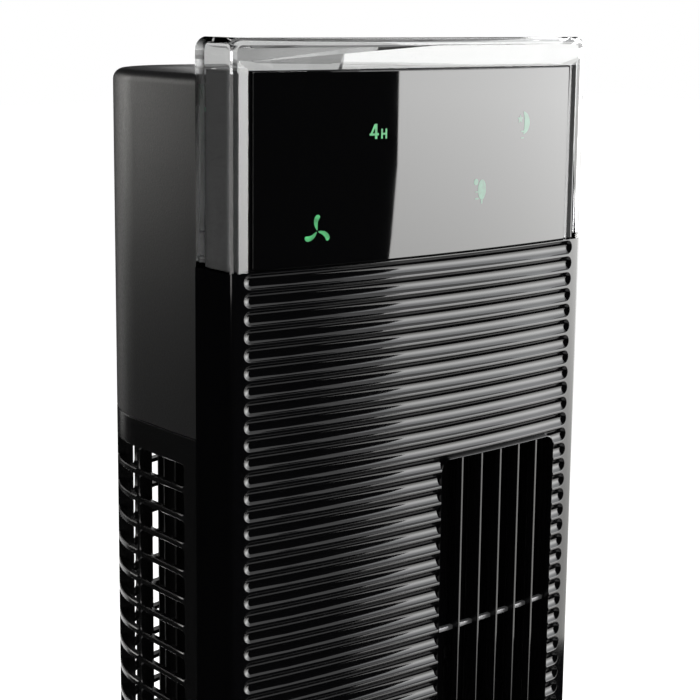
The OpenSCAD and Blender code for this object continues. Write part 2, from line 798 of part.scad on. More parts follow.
module front_panel() {
    color("#09090b") difference() {
        translate([0, 0, floor_z]) linear_extrude(panel_top - floor_z) front_plan();
        translate([0, 0, floor_z - 1]) linear_extrude(panel_top - floor_z - wall + 1) translate([0, 0])
            intersection() {
                translate([0, curve_y]) circle(front_r - wall, $fn = 200);
                translate([-(side_x - side_wall), crown_y - 1]) square([2 * (side_x - side_wall), panel_d + 5]);
            }
        difference() {
            flutes();
            outlet_hole(outlet_lip, -5, 12);
        }
        outlet_hole(0, -5, panel_d - 8);
        translate([harness_x, harness_y, panel_top - wall - 1]) cylinder(r = harness_r + seat, h = wall + 2);
    }
}

module outlet_grille() {
    edge = 4;
    back = fin_recess + fin_d;
    color("#0c0c0e") {
        difference() {
            front_layer(wall + 0.1, back, outlet_x1 - edge, outlet_x2 + edge, outlet_z - edge, outlet_top + edge);
            box(outlet_x1, outlet_x2, crown_y - 5, crown_y + 30, outlet_z, outlet_top);
        }
        for (i = [1:fin_count]) let (x = outlet_x1 + i * fin_pitch)
            front_layer(fin_recess, back, x - fin_t / 2, x + fin_t / 2, outlet_z, outlet_top);
        for (i = [1:bar_count]) let (z = outlet_top - i * bar_step)
            front_layer(bar_recess, bar_recess + bar_t, outlet_x1 - 1, outlet_x2 + 1, z - bar_t / 2, z + bar_t / 2);
    }
}

// ---- Rear shells ----
// A rib across the wall at distance s along it from the middle of the back
module rib_plan(s) {
    flat = corner_x;
    if (s <= flat) translate([s - rib_w / 2, corner_y]) square([rib_w, corner_r + 2]);
    else if (s <= flat + arc_len)
        translate([corner_x, corner_y]) rotate(90 - (s - flat) / arc_len * 90)
            translate([0, -rib_w / 2]) square([corner_r + 2, rib_w]);
    else translate([0, corner_y - (s - flat - arc_len) - rib_w / 2]) square([side_x + 2, rib_w]);
}

module slot_plan() {
    difference() {
        translate([-side_x - 5, joint_y + slot_margin]) square([body_w + 10, body_d]);
        shell_plan(rib_d + 1, -1);
        rib_plan(0);
        for (s = RIBS, m = [0, 1]) mirror([m, 0]) rib_plan(s);
    }
}

// Plan of the slotted wall, thicker at the upright ribs
module ribbed_plan() {
    difference() {
        shell_plan();
        difference() {
            shell_plan(wall, -1);
            for (s = RIBS, m = [0, 1]) mirror([m, 0]) rib_plan(s);
        }
        shell_plan(rib_d, -1);
    }
}

module shell_ring(z1, z2) {
    translate([0, 0, z1]) linear_extrude(z2 - z1) difference() {
        shell_plan();
        shell_plan(wall, -1);
    }
}

module screw_hole(x, z) {
    rod_y(1.6, x, z, back_y - wall - 1, back_y + 1);
    rod_y(3.3, x, z, back_y - 1.3, back_y + 1);
}

module rear_grille() {
    color("#0f0f11") difference() {
        union() {
            shell_ring(floor_z, slot_foot);
            translate([0, 0, slot_foot]) linear_extrude(slot_top - slot_foot) ribbed_plan();
            shell_ring(slot_top, seam_z);
        }
        difference() {
            union() for (i = [0:slot_rows - 1]) translate([0, 0, slot_top - slot_h - i * slot_pitch])
                linear_extrude(slot_h) slot_plan();
            for (s = [-1, 1]) {
                rod_y(6, s * 30, motor_plate_z + bulk_t / 2, back_y - 6, back_y + 6);
            }
        }
        rod_y(inlet_r + fit, 0, inlet_z, back_y - 6, back_y + 6);
        for (x = [-30, 30]) {
            screw_hole(x, floor_z + 4);
            screw_hole(x, motor_plate_z + bulk_t / 2);
        }
    }
}

top_edge_r = 4;
tray_y = (joint_y + back_y) / 2 - 1;
tray_floor = housing_top - tray_d;
tray_t = 2.2;
key_x = [for (k = [-2:2]) k * key_spacing];

module stadium(l, w) {
    for (s = [-1, 1]) translate([s * (l - w) / 2, 0]) circle(w / 2);
    square([l - w, w], center = true);
}

// Cross-section with one rounded top edge, from x = 0 to w, standing on z = 0
module edge_profile(w, h, r) {
    square([w - r, h]);
    square([w, h - r]);
    translate([w - r, h - r]) circle(r);
}

// Rear housing as a block with a rounded top edge, in pieces that meet face to face
module housing_block() {
    h = housing_top - seam_z;
    r = top_edge_r;
    for (s = [0, 1]) mirror([s, 0, 0]) {
        translate([0, corner_y, seam_z]) rotate([90, 0, 0]) linear_extrude(corner_y - joint_y)
            edge_profile(shell_x, h, r);
        translate([corner_x, corner_y, seam_z]) rotate_extrude(angle = 90, $fn = 96) edge_profile(corner_r, h, r);
        translate([0, corner_y, seam_z]) rotate([90, 0, 90]) linear_extrude(corner_x)
            edge_profile(corner_r, h, r);
    }
}

module rear_housing() {
    color("#2b2c2d") difference() {
        union() {
            difference() {
                housing_block();
                translate([0, 0, seam_z - 1]) linear_extrude(housing_top - wall - seam_z + 1) shell_plan(wall, -5);
            }
            translate([0, tray_y, tray_floor - tray_t]) linear_extrude(tray_t + tray_d - 1) stadium(tray_l + 4, tray_w + 4);
            for (s = [-1, 1]) translate([s * key_post_x, tray_y, key_board_z + 1.6])
                cylinder(r = 2.2, h = tray_floor - key_board_z - 2);
        }
        translate([0, tray_y, tray_floor]) linear_extrude(20) stadium(tray_l, tray_w);
        for (x = key_x) translate([x, tray_y, 0]) disc(key_r + key_gap, tray_floor - 10, tray_floor + 1);
        for (x = [-30, 30]) screw_hole(x, seam_z + 6);
    }
}

module housing_screws() {
    color("#3a3c40") for (x = [-30, 30]) for (z = [floor_z + 4, motor_plate_z + bulk_t / 2, seam_z + 6]) {
        rod_y(3, x, z, back_y - 1.3, back_y);
        rod_y(1.4, x, z, back_y - 10.5, back_y - 1);
    }
}

// ---- Display ----
display_x = side_x - cover_rim;
display_top = total_h - display_drop;
module cover_block(inset, y1, y2, z1) {
    r = cover_r - inset;
    x = side_x - inset;
    z = total_h - inset;
    translate([0, y2, 0]) rotate([90, 0, 0]) linear_extrude(y2 - y1) {
        translate([-x, z1]) square([2 * x, z - r - z1]);
        translate([-x + r, z1]) square([2 * (x - r), z - z1]);
        for (s = [-1, 1]) translate([s * (x - r), z - r]) circle(r);
    }
}

module clear_cover() {
    front_t = 3;
    color("#dfe6e4", 0.35) difference() {
        intersection() {
            cover_block(0, crown_y - 1, joint_y, panel_top);
            translate([0, curve_y, panel_top - 1]) cylinder(r = front_r, h = cover_h + 2, $fn = 200);
        }
        difference() {
            cover_block(cover_wall, crown_y - 1, joint_y - cover_flange, panel_top - 1);
            translate([0, curve_y, panel_top - 2]) difference() {
                cylinder(r = front_r + 20, h = cover_h + 4, $fn = 200);
                translate([0, 0, -1]) cylinder(r = front_r - front_t, h = cover_h + 6, $fn = 200);
            }
        }
        box(-(side_x - cover_rim), side_x - cover_rim, crown_y - 5, crown_y + 16, panel_top - 1, display_top);
        box(-(side_x - cover_rim), side_x - cover_rim, joint_y - cover_flange - 1, joint_y + 1,
            panel_top - 1, display_top + 0.2);
    }
}

carrier_gap = 0.4;
carrier_x = side_x - cover_wall - carrier_gap;
carrier_back = joint_y - cover_flange - carrier_gap;
module display_carrier() {
    x = carrier_x;
    color("#26272a") difference() {
        intersection() {
            translate([0, 0, panel_top]) linear_extrude(display_top - panel_top)
                intersection() {
                    translate([0, curve_y]) circle(front_r - 3.1, $fn = 200);
                    translate([-x, crown_y]) square([2 * x, carrier_back - crown_y]);
                }
            box(-x, x, crown_y, joint_y, panel_top, display_top);
        }
        difference() {
            box(-x + 2, x - 2, crown_y, joint_y, panel_top + 2, display_top - 2);
            front_layer(3, 5.1, -x, x, panel_top, display_top);
            for (p = carrier_bosses) rod_y(3.2, p[0], p[1], crown_y, display_board_y);
        }
        for (p = icon_spots) box(p[0] - guide_w / 2 - 0.3, p[0] + guide_w / 2 + 0.3, crown_y, crown_y + 14,
            p[1] - guide_w / 2 - 0.3, p[1] + guide_w / 2 + 0.3);
        for (p = carrier_bosses) rod_y(1.2, p[0], p[1], display_board_y - 4, joint_y);
        translate([harness_x, harness_y, panel_top - 1]) cylinder(r = harness_r + seat, h = 4);
    }
}

module display_panel() {
    color("#050506") front_layer(1, 1 + display_t, -(display_x - display_gap), display_x - display_gap,
        panel_top + 0.2, display_top - 0.4);
}

// Places of the four icons on the display: fan, hours, tree, moon
icon_spots = [[-48.2, panel_top + 13.4], [-23.3, panel_top + 44.1], [24.7, panel_top + 21], [46.3, panel_top + 44.5]];
display_board_y = crown_y + 11.5;
carrier_bosses = [for (sx = [-1, 1]) for (sz = [0, 1]) [sx * 60, panel_top + 8 + sz * 46]];

module icon_guides() {
    color("#b8f5c8") for (p = icon_spots)
        box(p[0] - guide_w / 2, p[0] + guide_w / 2, arc_back(abs(p[0]) + guide_w / 2, 3.1) + 0.1, display_board_y,
            p[1] - guide_w / 2, p[1] + guide_w / 2);
}

module display_board() {
    color("#2f6b45") {
        box(-66, 66, display_board_y, display_board_y + 1.6, panel_top + 3.5, panel_top + 59);
        box(-6, 6, display_board_y + 1.6, display_board_y + 6, panel_top + 24, panel_top + 34);
        box(30, 38, display_board_y + 1.6, display_board_y + 5, panel_top + 40, panel_top + 50);
    }
}

// ---- Keys ----
key_flange_t = 1.2;
key_top = tray_floor + 0.9;
key_flange_z = tray_floor - tray_t - 0.1 - key_flange_t;
stem_z = key_flange_z - 3;
switch_top = stem_z - key_travel - 0.1;
switch_h = 3;
key_board_z = switch_top - switch_h - 1.6;
key_post_x = tray_l / 2 - 0.5;

module key_at(x) {
    translate([x, tray_y, 0]) {
        disc(key_r, key_flange_z, key_top);
        disc(key_r + 1.2, key_flange_z, key_flange_z + key_flange_t);
        disc(2, stem_z, key_flange_z + 0.5);
    }
}
module key_power() { color("#1e1f21") key_at(key_x[0]); }
module key_speed() { color("#1e1f21") key_at(key_x[1]); }
module key_mode() { color("#1e1f21") key_at(key_x[2]); }
module key_timer() { color("#1e1f21") key_at(key_x[3]); }
module key_swing() { color("#1e1f21") key_at(key_x[4]); }

module key_board() {
    color("#2f6b45") box(-(key_post_x + 3), key_post_x + 3, tray_y - 9, tray_y + 9, key_board_z, key_board_z + 1.6);
}

module switches() {
    color("#8d9095") for (x = key_x) box(x - 3, x + 3, tray_y - 3, tray_y + 3, key_board_z + 1.6, switch_top);
}

// ---- Wiring loom from the power board to the display board ----
harness_r = 2.2;
harness_x = -(side_x - 14);
harness_y = display_board_y + 1.6 + harness_r + 0.1;
harness_z1 = board_z + 1.6 + harness_r + 0.1;
harness_z2 = panel_top + 10;
module harness() {
    color("#1c1c1e") {
        translate([harness_x, harness_y, 0]) disc(harness_r, harness_z1, harness_z2);
        rod_y(harness_r, harness_x, harness_z1, harness_y, board_y - board_w / 2 + 4);
        translate([harness_x, harness_y, harness_z1]) sphere(harness_r);
    }
}

base_shell();
base_plate();
ballast();
feet();
base_screws();
cord_inlet();
pivot_post();
pivot_screws();
fixed_gear();
thrust_washer();
retaining_washer();
circlip();
neck();
pivot_bush();
neck_screws();
bottom_cover();
swing_motor();
swing_motor_screws();
swing_pinion();
pinion_shaft();
power_board();
power_parts();
capacitor();
motor_plate();
motor_housing();
motor_stator();
motor_windings();
motor_bushes();
motor_dampers();
motor_screws();
motor_rotor();
motor_shaft();
impeller();
impeller_set_screw();
top_pin();
top_plate();
top_bush();
bush_mount();
scroll_wall();
tongue();
front_panel();
outlet_grille();
rear_grille();
rear_housing();
housing_screws();
clear_cover();
display_carrier();
display_panel();
icon_guides();
display_board();
key_board();
switches();
key_power();
key_speed();
key_mode();
key_timer();
key_swing();
harness();
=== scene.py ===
"""Tower fan: materials, detailed covers, grilles, display, keys and base over the CAD frame."""

import bpy
import bmesh
import json
import math
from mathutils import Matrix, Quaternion, Vector


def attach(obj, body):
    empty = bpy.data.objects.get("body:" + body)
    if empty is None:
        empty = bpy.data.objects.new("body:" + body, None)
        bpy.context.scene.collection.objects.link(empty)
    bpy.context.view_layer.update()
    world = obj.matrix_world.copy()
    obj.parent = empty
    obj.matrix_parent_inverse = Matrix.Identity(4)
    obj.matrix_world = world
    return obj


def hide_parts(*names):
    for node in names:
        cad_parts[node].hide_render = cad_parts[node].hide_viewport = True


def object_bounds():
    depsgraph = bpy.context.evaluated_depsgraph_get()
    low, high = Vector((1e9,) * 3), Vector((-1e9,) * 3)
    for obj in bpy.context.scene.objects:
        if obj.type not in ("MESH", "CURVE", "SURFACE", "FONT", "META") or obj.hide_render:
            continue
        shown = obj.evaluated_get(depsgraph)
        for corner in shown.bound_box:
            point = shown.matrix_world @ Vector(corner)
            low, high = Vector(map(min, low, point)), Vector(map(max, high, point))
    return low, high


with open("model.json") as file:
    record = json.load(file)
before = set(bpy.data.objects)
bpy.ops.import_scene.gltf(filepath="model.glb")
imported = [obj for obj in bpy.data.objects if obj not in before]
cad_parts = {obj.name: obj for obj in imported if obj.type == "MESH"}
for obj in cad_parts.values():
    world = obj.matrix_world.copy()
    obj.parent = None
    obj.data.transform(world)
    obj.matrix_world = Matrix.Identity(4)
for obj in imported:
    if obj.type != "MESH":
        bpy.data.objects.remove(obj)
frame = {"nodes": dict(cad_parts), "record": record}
CAD_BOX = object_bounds()
NODES = frame["nodes"]

bl_info = {
    "name": "Tower fan",
    "version": (1, 0, 0),
    "blender": (4, 5, 0),
    "location": "3D View > Sidebar > Fan",
    "description": "Builds the visible pieces of a tower fan over its CAD frame",
    "category": "Object",
}

MM = 0.001


# ---------------------------------------------------------------- settings

def length_mm(name, text, value, low=0.0):
    return bpy.props.FloatProperty(name=name, description=text, default=value, min=low, precision=2)


def colour(name, text, value):
    return bpy.props.FloatVectorProperty(
        name=name, description=text, default=value, size=3, min=0.0, max=1.0, subtype="COLOR")


class FanSizes(bpy.types.PropertyGroup):
    """Sizes of the fan's visible pieces, in millimetres."""
    height: length_mm("Height", "Floor to the top of the clear cover", CAD_BOX[1][2] / MM)
    half_width: length_mm("Half width", "Half the front panel's width", 80.0)
    crown_y: length_mm("Crown", "Place of the front's crown along Y", -56.0, -100.0)
    joint_y: length_mm("Joint", "Place where the front panel meets the rear shells", -30.0, -100.0)
    back_y: length_mm("Back", "Place of the rear face along Y", 56.0)
    front_r: length_mm("Front radius", "Radius of the front, seen from above", 584.0)
    wall: length_mm("Wall", "Wall of the moulded shells", 2.5)
    panel_top: length_mm("Panel top", "Top of the fluted panel", 857.0)
    panel_foot: length_mm("Panel foot", "Bottom of the fluted panel", 63.0)
    flute_pitch: length_mm("Flute pitch", "From one flute to the next", 6.0)
    flute_half: length_mm("Flute half width", "Half a flute's width", 2.85)
    flute_depth: length_mm("Flute depth", "Depth of a flute", 1.4)
    flute_r: length_mm("Flute radius", "Radius of a flute's floor", 3.0)
    flute_lip: length_mm("Flute lip", "Rounding of a flute's edge", 0.4)
    flute_end: length_mm("Flute end", "Where the flutes end, from the middle", 75.4)
    flute_count: bpy.props.IntProperty(name="Flutes", description="Number of flutes", default=130, min=1)
    outlet_x1: length_mm("Outlet left", "Left side of the air outlet", 8.2)
    outlet_x2: length_mm("Outlet right", "Right side of the air outlet", 67.7)
    outlet_z1: length_mm("Outlet foot", "Lower end of the air outlet", 197.4)
    outlet_z2: length_mm("Outlet top", "Upper end of the air outlet", 782.4)
    outlet_r: length_mm("Outlet corner", "Corner radius of the air outlet", 4.0)
    fin_count: bpy.props.IntProperty(name="Fins", description="Upright fins in the outlet", default=5, min=1)
    bar_count: bpy.props.IntProperty(name="Bars", description="Cross bars in the outlet", default=8, min=1)
    shell_x: length_mm("Shell half width", "Half the rear shells' width", 78.8)
    corner_r: length_mm("Rear corner", "Radius of the rear corners", 46.0)
    seam_z: length_mm("Seam", "Height of the seam between the rear shells", 797.7)
    housing_top: length_mm("Housing top", "Top of the rear housing", 919.8)
    display_top: length_mm("Display top", "Top of the display's opening in the clear cover", 921.6)
    slot_top: length_mm("Slot top", "Top of the highest slots", 787.3)
    slot_pitch: length_mm("Slot pitch", "From one slot to the next", 10.0)
    slot_h: length_mm("Slot height", "Height of a slot", 7.9)
    slot_margin: length_mm("Slot margin", "From the shell's front edge to the first slot", 9.6)
    slot_rows: bpy.props.IntProperty(name="Slot rows", description="Rows of slots", default=59, min=1)
    rib_w: length_mm("Rib", "Width of an upright rib", 1.6)
    rib_d: length_mm("Rib depth", "Depth of the upright ribs, the wall included", 5.6)
    rib_front: length_mm("First rib", "From the shell's front edge to the first rib", 39.0)
    rib_pitch: length_mm("Rib pitch", "From rib to rib round the corner", 25.3)
    cover_wall: length_mm("Cover wall", "Wall of the clear cover", 2.8)
    cover_r: length_mm("Cover corner", "Corner radius of the clear cover", 4.5)
    cover_edge: length_mm("Cover edge", "Rounding of the clear cover's front edge", 2.4)
    rim: length_mm("Cover rim", "Width of the clear rim beside the display", 7.2)
    base_r: length_mm("Base radius", "Radius of the base", 150.0)


class FanColours(bpy.types.PropertyGroup):
    """Colours of the fan's finishes."""
    gloss: colour("Gloss black", "Front panel, neck and base", (0.0022, 0.0022, 0.0025))
    matte: colour("Matt black", "Rear housing", (0.012, 0.012, 0.0125))
    slotted: colour("Slotted shell", "Rear grille", (0.006, 0.006, 0.0062))
    display: colour("Display", "Smoked display panel", (0.002, 0.002, 0.0022))
    symbol: colour("Lit symbols", "Symbols on the dark side of the display", (0.045, 0.42, 0.13))
    symbol_pale: colour("Pale symbols", "Symbols on the bright side of the display", (0.04, 0.78, 0.36))
    rubber: colour("Rubber", "Feet and grommets", (0.016, 0.016, 0.016))
    steel: colour("Steel", "Turned steel", (0.56, 0.57, 0.58))
    nylon: colour("Nylon", "Gears and bushes", (0.72, 0.70, 0.62))
    board: colour("Circuit board", "Solder resist", (0.012, 0.10, 0.045))
    floor: colour("Floor", "Pale studio floor", (0.80, 0.80, 0.79))


class StageSettings(bpy.types.PropertyGroup):
    """Camera and lens."""
    lens: bpy.props.FloatProperty(name="Lens", description="Focal length in millimetres", default=88.23,
                                  unit="CAMERA")
    shift_y: bpy.props.FloatProperty(name="Shift", description="Vertical lens shift", default=-0.05)
    camera: bpy.props.FloatVectorProperty(
        name="Camera", description="Place of the camera", default=(-0.38965, -0.49745, 0.94194), size=3,
        unit="LENGTH")
    yaw: bpy.props.FloatProperty(name="Yaw", description="Degrees from +Y towards +X", default=38.7561)
    pitch: bpy.props.FloatProperty(name="Pitch", description="Degrees below level", default=10.1935)
    roll: bpy.props.FloatProperty(name="Roll", description="Degrees about the view line", default=0.6522)


def sizes():
    return bpy.context.scene.fan_sizes


def colours():
    return bpy.context.scene.fan_colours


# ---------------------------------------------------------------- meshes

def new_object(name, verts, faces, material, scale=MM):
    mesh = bpy.data.meshes.new(name)
    mesh.from_pydata([(x * scale, y * scale, z * scale) for x, y, z in verts], [], faces)
    mesh.update()
    ob = bpy.data.objects.new(name, mesh)
    bpy.context.scene.collection.objects.link(ob)
    if material:
        mesh.materials.append(material)
    return ob


def tidy_mesh(ob, sharp=38.0, merge=0.00001):
    """Merges doubles, points the faces outwards and shades smooth up to an angle."""
    bm = bmesh.new()
    bm.from_mesh(ob.data)
    if merge:
        bmesh.ops.remove_doubles(bm, verts=bm.verts, dist=merge)
    bmesh.ops.recalc_face_normals(bm, faces=bm.faces)
    bm.to_mesh(ob.data)
    bm.free()
    ob.data.shade_smooth()
    ob.data.set_sharp_from_angle(angle=math.radians(sharp))
    return ob


def evaluated(ob):
    """Turns the modified object into a plain mesh."""
    graph = bpy.context.evaluated_depsgraph_get()
    mesh = bpy.data.meshes.new_from_object(ob.evaluated_get(graph))
    ob.modifiers.clear()
    old = ob.data
    ob.data = mesh
    bpy.data.meshes.remove(old)
    return ob


def even_normals(ob, sharp):
    """Smooth shading in which large flat faces stay flat."""
    ob.data.shade_smooth()
    ob.data.set_sharp_from_angle(angle=math.radians(sharp))
    m = ob.modifiers.new("Even", "WEIGHTED_NORMAL")
    m.mode, m.weight, m.keep_sharp = "FACE_AREA", 90, True
    return evaluated(ob)


def cut(ob, *tools):
    """Cuts closed tool meshes out of a closed mesh."""
    for tool in tools:
        m = ob.modifiers.new("Cut", "BOOLEAN")
        m.operation = "DIFFERENCE"
        m.solver = "MANIFOLD"
        m.object = tool
        evaluated(ob)
        bpy.data.objects.remove(tool)
    return ob


def join(name, parts):
    """Joins objects into one mesh that keeps the first one's material."""
    bm = bmesh.new()
    for p in parts:
        bm.from_mesh(p.data)
    mesh = bpy.data.meshes.new(name)
    bm.to_mesh(mesh)
    bm.free()
    for m in parts[0].data.materials:
        mesh.materials.append(m)
    for p in parts:
        bpy.data.objects.remove(p)
    ob = bpy.data.objects.new(name, mesh)
    bpy.context.scene.collection.objects.link(ob)
    return ob


def loft(name, rings, material):
    """A closed solid from rings of equal count, capped at both ends."""
    n = len(rings[0])
    verts = [p for r in rings for p in r]
    faces = []
    for k in range(len(rings) - 1):
        for i in range(n):
            j = (i + 1) % n
            faces.append((k * n + i, k * n + j, (k + 1) * n + j, (k + 1) * n + i))
    faces.append(tuple(range(n))[::-1])
    faces.append(tuple(range((len(rings) - 1) * n, len(rings) * n)))
    return new_object(name, verts, faces, material)


def lathe(name, profile, material, centre=(0.0, 0.0), steps=96, sharp=38.0):
    """Turns a closed outline of (radius, height) about an upright axis."""
    n = len(profile)
    verts, faces = [], []
    for k in range(steps):
        a = 2 * math.pi * k / steps
        for r, z in profile:
            verts.append((centre[0] + r * math.cos(a), centre[1] + r * math.sin(a), z))
    for k in range(steps):
        m = (k + 1) % steps
        for i in range(n):
            j = (i + 1) % n
            faces.append((k * n + i, m * n + i, m * n + j, k * n + j))
    return tidy_mesh(new_object(name, verts, faces, material), sharp, 0.000002)


def at_height(points, z):
    """A plan outline at one height."""
    return [(x, y, z) for x, y in points]


def upright(points, y):
    """An outline in x and z at one depth."""
    return [(x, y, z) for x, z in points]


def circle(cx, cy, r, steps):
    """Points round a full circle."""
    return [(cx + r * math.cos(2 * math.pi * k / steps), cy + r * math.sin(2 * math.pi * k / steps))
            for k in range(steps)]


def arc(cx, cz, r, a1, a2, steps=14):
    """Points along part of a circle, from one angle to another, in degrees."""
    return [(cx + r * math.cos(math.radians(a1 + (a2 - a1) * k / steps)),
             cz + r * math.sin(math.radians(a1 + (a2 - a1) * k / steps))) for k in range(steps + 1)]


def oval(cx, cz, rx, rz, angles):
    """Points of an ellipse at the given angles, in degrees."""
    return [(cx + rx * math.cos(math.radians(a)), cz + rz * math.sin(math.radians(a))) for a in angles]


def hoop(name, rings, material):
    """A closed loop of rings of equal count, like a picture frame."""
    n, m = len(rings[0]), len(rings)
    faces = [(k * n + i, k * n + (i + 1) % n, ((k + 1) % m) * n + (i + 1) % n, ((k + 1) % m) * n + i)
             for k in range(m) for i in range(n)]
    return tidy_mesh(new_object(name, [p for r in rings for p in r], faces, material))


def rounded(points, radii, steps=4):
    """An outline with its corners rounded: one radius for each point."""
    out = []
    n = len(points)
    for i, p in enumerate(points):
        r = radii[i] if isinstance(radii, (list, tuple)) else radii
        p = Vector(p)
        if r <= 0:
            out.append(tuple(p))
            continue
        a, b = Vector(points[i - 1]) - p, Vector(points[(i + 1) % n]) - p
        half = a.angle(b) / 2
        d = min(r / math.tan(half), a.length * 0.49, b.length * 0.49)
        p1, p2 = p + a.normalized() * d, p + b.normalized() * d
        for k in range(steps + 1):
            t = k / steps
            out.append(tuple(p1 * (1 - t) ** 2 + p * 2 * t * (1 - t) + p2 * t ** 2))
    return out


def front_point(x, depth=0.0):
    """Point of a layer parallel to the curved front, where the face is at x."""
    s = sizes()
    a = math.asin(max(-1, min(1, x / s.front_r)))
    r = s.front_r - depth
    return r * math.sin(a), s.crown_y + s.front_r - r * math.cos(a)


def shell_point(d, depth=0.0):
    """Point of the rear shells' plan at distance d from the middle of the back."""
    s = sizes()
    cx, cy = s.shell_x - s.corner_r, s.back_y - s.corner_r
    side, a = (1 if d >= 0 else -1), abs(d)
    bend = s.corner_r * math.pi / 2
    if a <= cx:
        x, y, nx, ny = a, s.back_y, 0.0, 1.0
    elif a <= cx + bend:
        t = (a - cx) / s.corner_r
        nx, ny = math.sin(t), math.cos(t)
        x, y = cx + s.corner_r * nx, cy + s.corner_r * ny
    else:
        x, y, nx, ny = s.shell_x, cy - (a - cx - bend), 1.0, 0.0
    return side * (x - nx * depth), y - ny * depth


def shell_end():
    """Distance along the rear shells from the middle of the back to the front panel."""
    s = sizes()
    cx, cy = s.shell_x - s.corner_r, s.back_y - s.corner_r
    return cx + s.corner_r * math.pi / 2 + cy - s.joint_y


# ---------------------------------------------------------------- geometry node trees

def node_tree(name, inputs):
    tree = bpy.data.node_groups.new(name, "GeometryNodeTree")
    face = tree.interface
    face.new_socket("Geometry", in_out="INPUT", socket_type="NodeSocketGeometry")
    for label, kind, value in inputs:
        sock = face.new_socket(label, in_out="INPUT", socket_type=kind)
        if value is not None:
            sock.default_value = value
    face.new_socket("Geometry", in_out="OUTPUT", socket_type="NodeSocketGeometry")
    return tree, tree.nodes.new("NodeGroupInput"), tree.nodes.new("NodeGroupOutput")


def end_tree(tree, source, gin, gout, merge=True):
    real = tree.nodes.new("GeometryNodeRealizeInstances")
    paint = tree.nodes.new("GeometryNodeSetMaterial")
    tree.links.new(source, real.inputs[0])
    last = real.outputs[0]
    if merge:
        weld = tree.nodes.new("GeometryNodeMergeByDistance")
        weld.inputs["Distance"].default_value = 0.00001
        tree.links.new(last, weld.inputs[0])
        last = weld.outputs[0]
    tree.links.new(last, paint.inputs["Geometry"])
    tree.links.new(gin.outputs["Material"], paint.inputs["Material"])
    tree.links.new(paint.outputs[0], gout.inputs[0])
    return tree


def stack_tree():
    """Repeats a piece by an equal step."""
    old = bpy.data.node_groups.get("Stack")
    if old:
        return old
    tree, gin, gout = node_tree("Stack", [
        ("Count", "NodeSocketInt", 10), ("Step", "NodeSocketVector", (0, 0, 0.01)),
        ("Material", "NodeSocketMaterial", None)])
    line = tree.nodes.new("GeometryNodeMeshLine")
    line.mode = "OFFSET"
    inst = tree.nodes.new("GeometryNodeInstanceOnPoints")
    tree.links.new(gin.outputs["Count"], line.inputs["Count"])
    tree.links.new(gin.outputs["Step"], line.inputs["Offset"])
    tree.links.new(line.outputs[0], inst.inputs["Points"])
    tree.links.new(gin.outputs["Geometry"], inst.inputs["Instance"])
    return end_tree(tree, inst.outputs[0], gin, gout)


def curve_row_tree():
    """Repeats a piece along the curved front at an equal pitch."""
    old = bpy.data.node_groups.get("Row on the front")
    if old:
        return old
    tree, gin, gout = node_tree("Row on the front", [
        ("Count", "NodeSocketInt", 5), ("Start", "NodeSocketFloat", 0.0), ("Pitch", "NodeSocketFloat", 0.01),
        ("Radius", "NodeSocketFloat", 0.584), ("Material", "NodeSocketMaterial", None)])
    new, link = tree.nodes.new, tree.links.new

    def math_node(op, a, b=None):
        n = new("ShaderNodeMath")
        n.operation = op
        for k, v in enumerate((a, b)):
            if v is None:
                continue
            if isinstance(v, (int, float)):
                n.inputs[k].default_value = v
            else:
                link(v, n.inputs[k])
        return n.outputs[0]
    line = new("GeometryNodeMeshLine")
    index = new("GeometryNodeInputIndex")
    link(gin.outputs["Count"], line.inputs["Count"])
    x = math_node("ADD", math_node("MULTIPLY", index.outputs[0], gin.outputs["Pitch"]), gin.outputs["Start"])
    r2 = math_node("MULTIPLY", gin.outputs["Radius"], gin.outputs["Radius"])
    root = math_node("SQRT", math_node("SUBTRACT", r2, math_node("MULTIPLY", x, x)))
    y = math_node("SUBTRACT", gin.outputs["Radius"], root)
    place = new("ShaderNodeCombineXYZ")
    link(x, place.inputs["X"])
    link(y, place.inputs["Y"])
    put = new("GeometryNodeSetPosition")
    link(line.outputs[0], put.inputs["Geometry"])
    link(place.outputs[0], put.inputs["Position"])
    inst = new("GeometryNodeInstanceOnPoints")
    link(put.outputs[0], inst.inputs["Points"])
    link(gin.outputs["Geometry"], inst.inputs["Instance"])
    return end_tree(tree, inst.outputs[0], gin, gout, merge=False)


def circle_tree():
    """Repeats a piece round an upright axis."""
    old = bpy.data.node_groups.get("Ring of pieces")
    if old:
        return old
    tree, gin, gout = node_tree("Ring of pieces", [
        ("Count", "NodeSocketInt", 6), ("Radius", "NodeSocketFloat", 0.1), ("Turn", "NodeSocketFloat", 0.0),
        ("Material", "NodeSocketMaterial", None)])
    new, link = tree.nodes.new, tree.links.new
    ring = new("GeometryNodeMeshCircle")
    inst = new("GeometryNodeInstanceOnPoints")
    turn = new("GeometryNodeTransform")
    angle = new("ShaderNodeCombineXYZ")
    link(gin.outputs["Count"], ring.inputs["Vertices"])
    link(gin.outputs["Radius"], ring.inputs["Radius"])
    link(gin.outputs["Turn"], angle.inputs["Z"])
    link(ring.outputs[0], turn.inputs["Geometry"])
    link(angle.outputs[0], turn.inputs["Rotation"])
    link(turn.outputs[0], inst.inputs["Points"])
    link(gin.outputs["Geometry"], inst.inputs["Instance"])
    return end_tree(tree, inst.outputs[0], gin, gout, merge=False)


def grow(ob, tree, **values):
    """Runs a node tree on an object and keeps the result as a plain mesh."""
    mod = ob.modifiers.new(tree.name, "NODES")
    mod.node_group = tree
    for item in tree.interface.items_tree:
        if item.item_type == "SOCKET" and item.in_out == "INPUT" and item.name in values:
            mod[item.identifier] = values[item.name]
    ob.update_tag()
    return evaluated(ob)


# ---------------------------------------------------------------- finishes

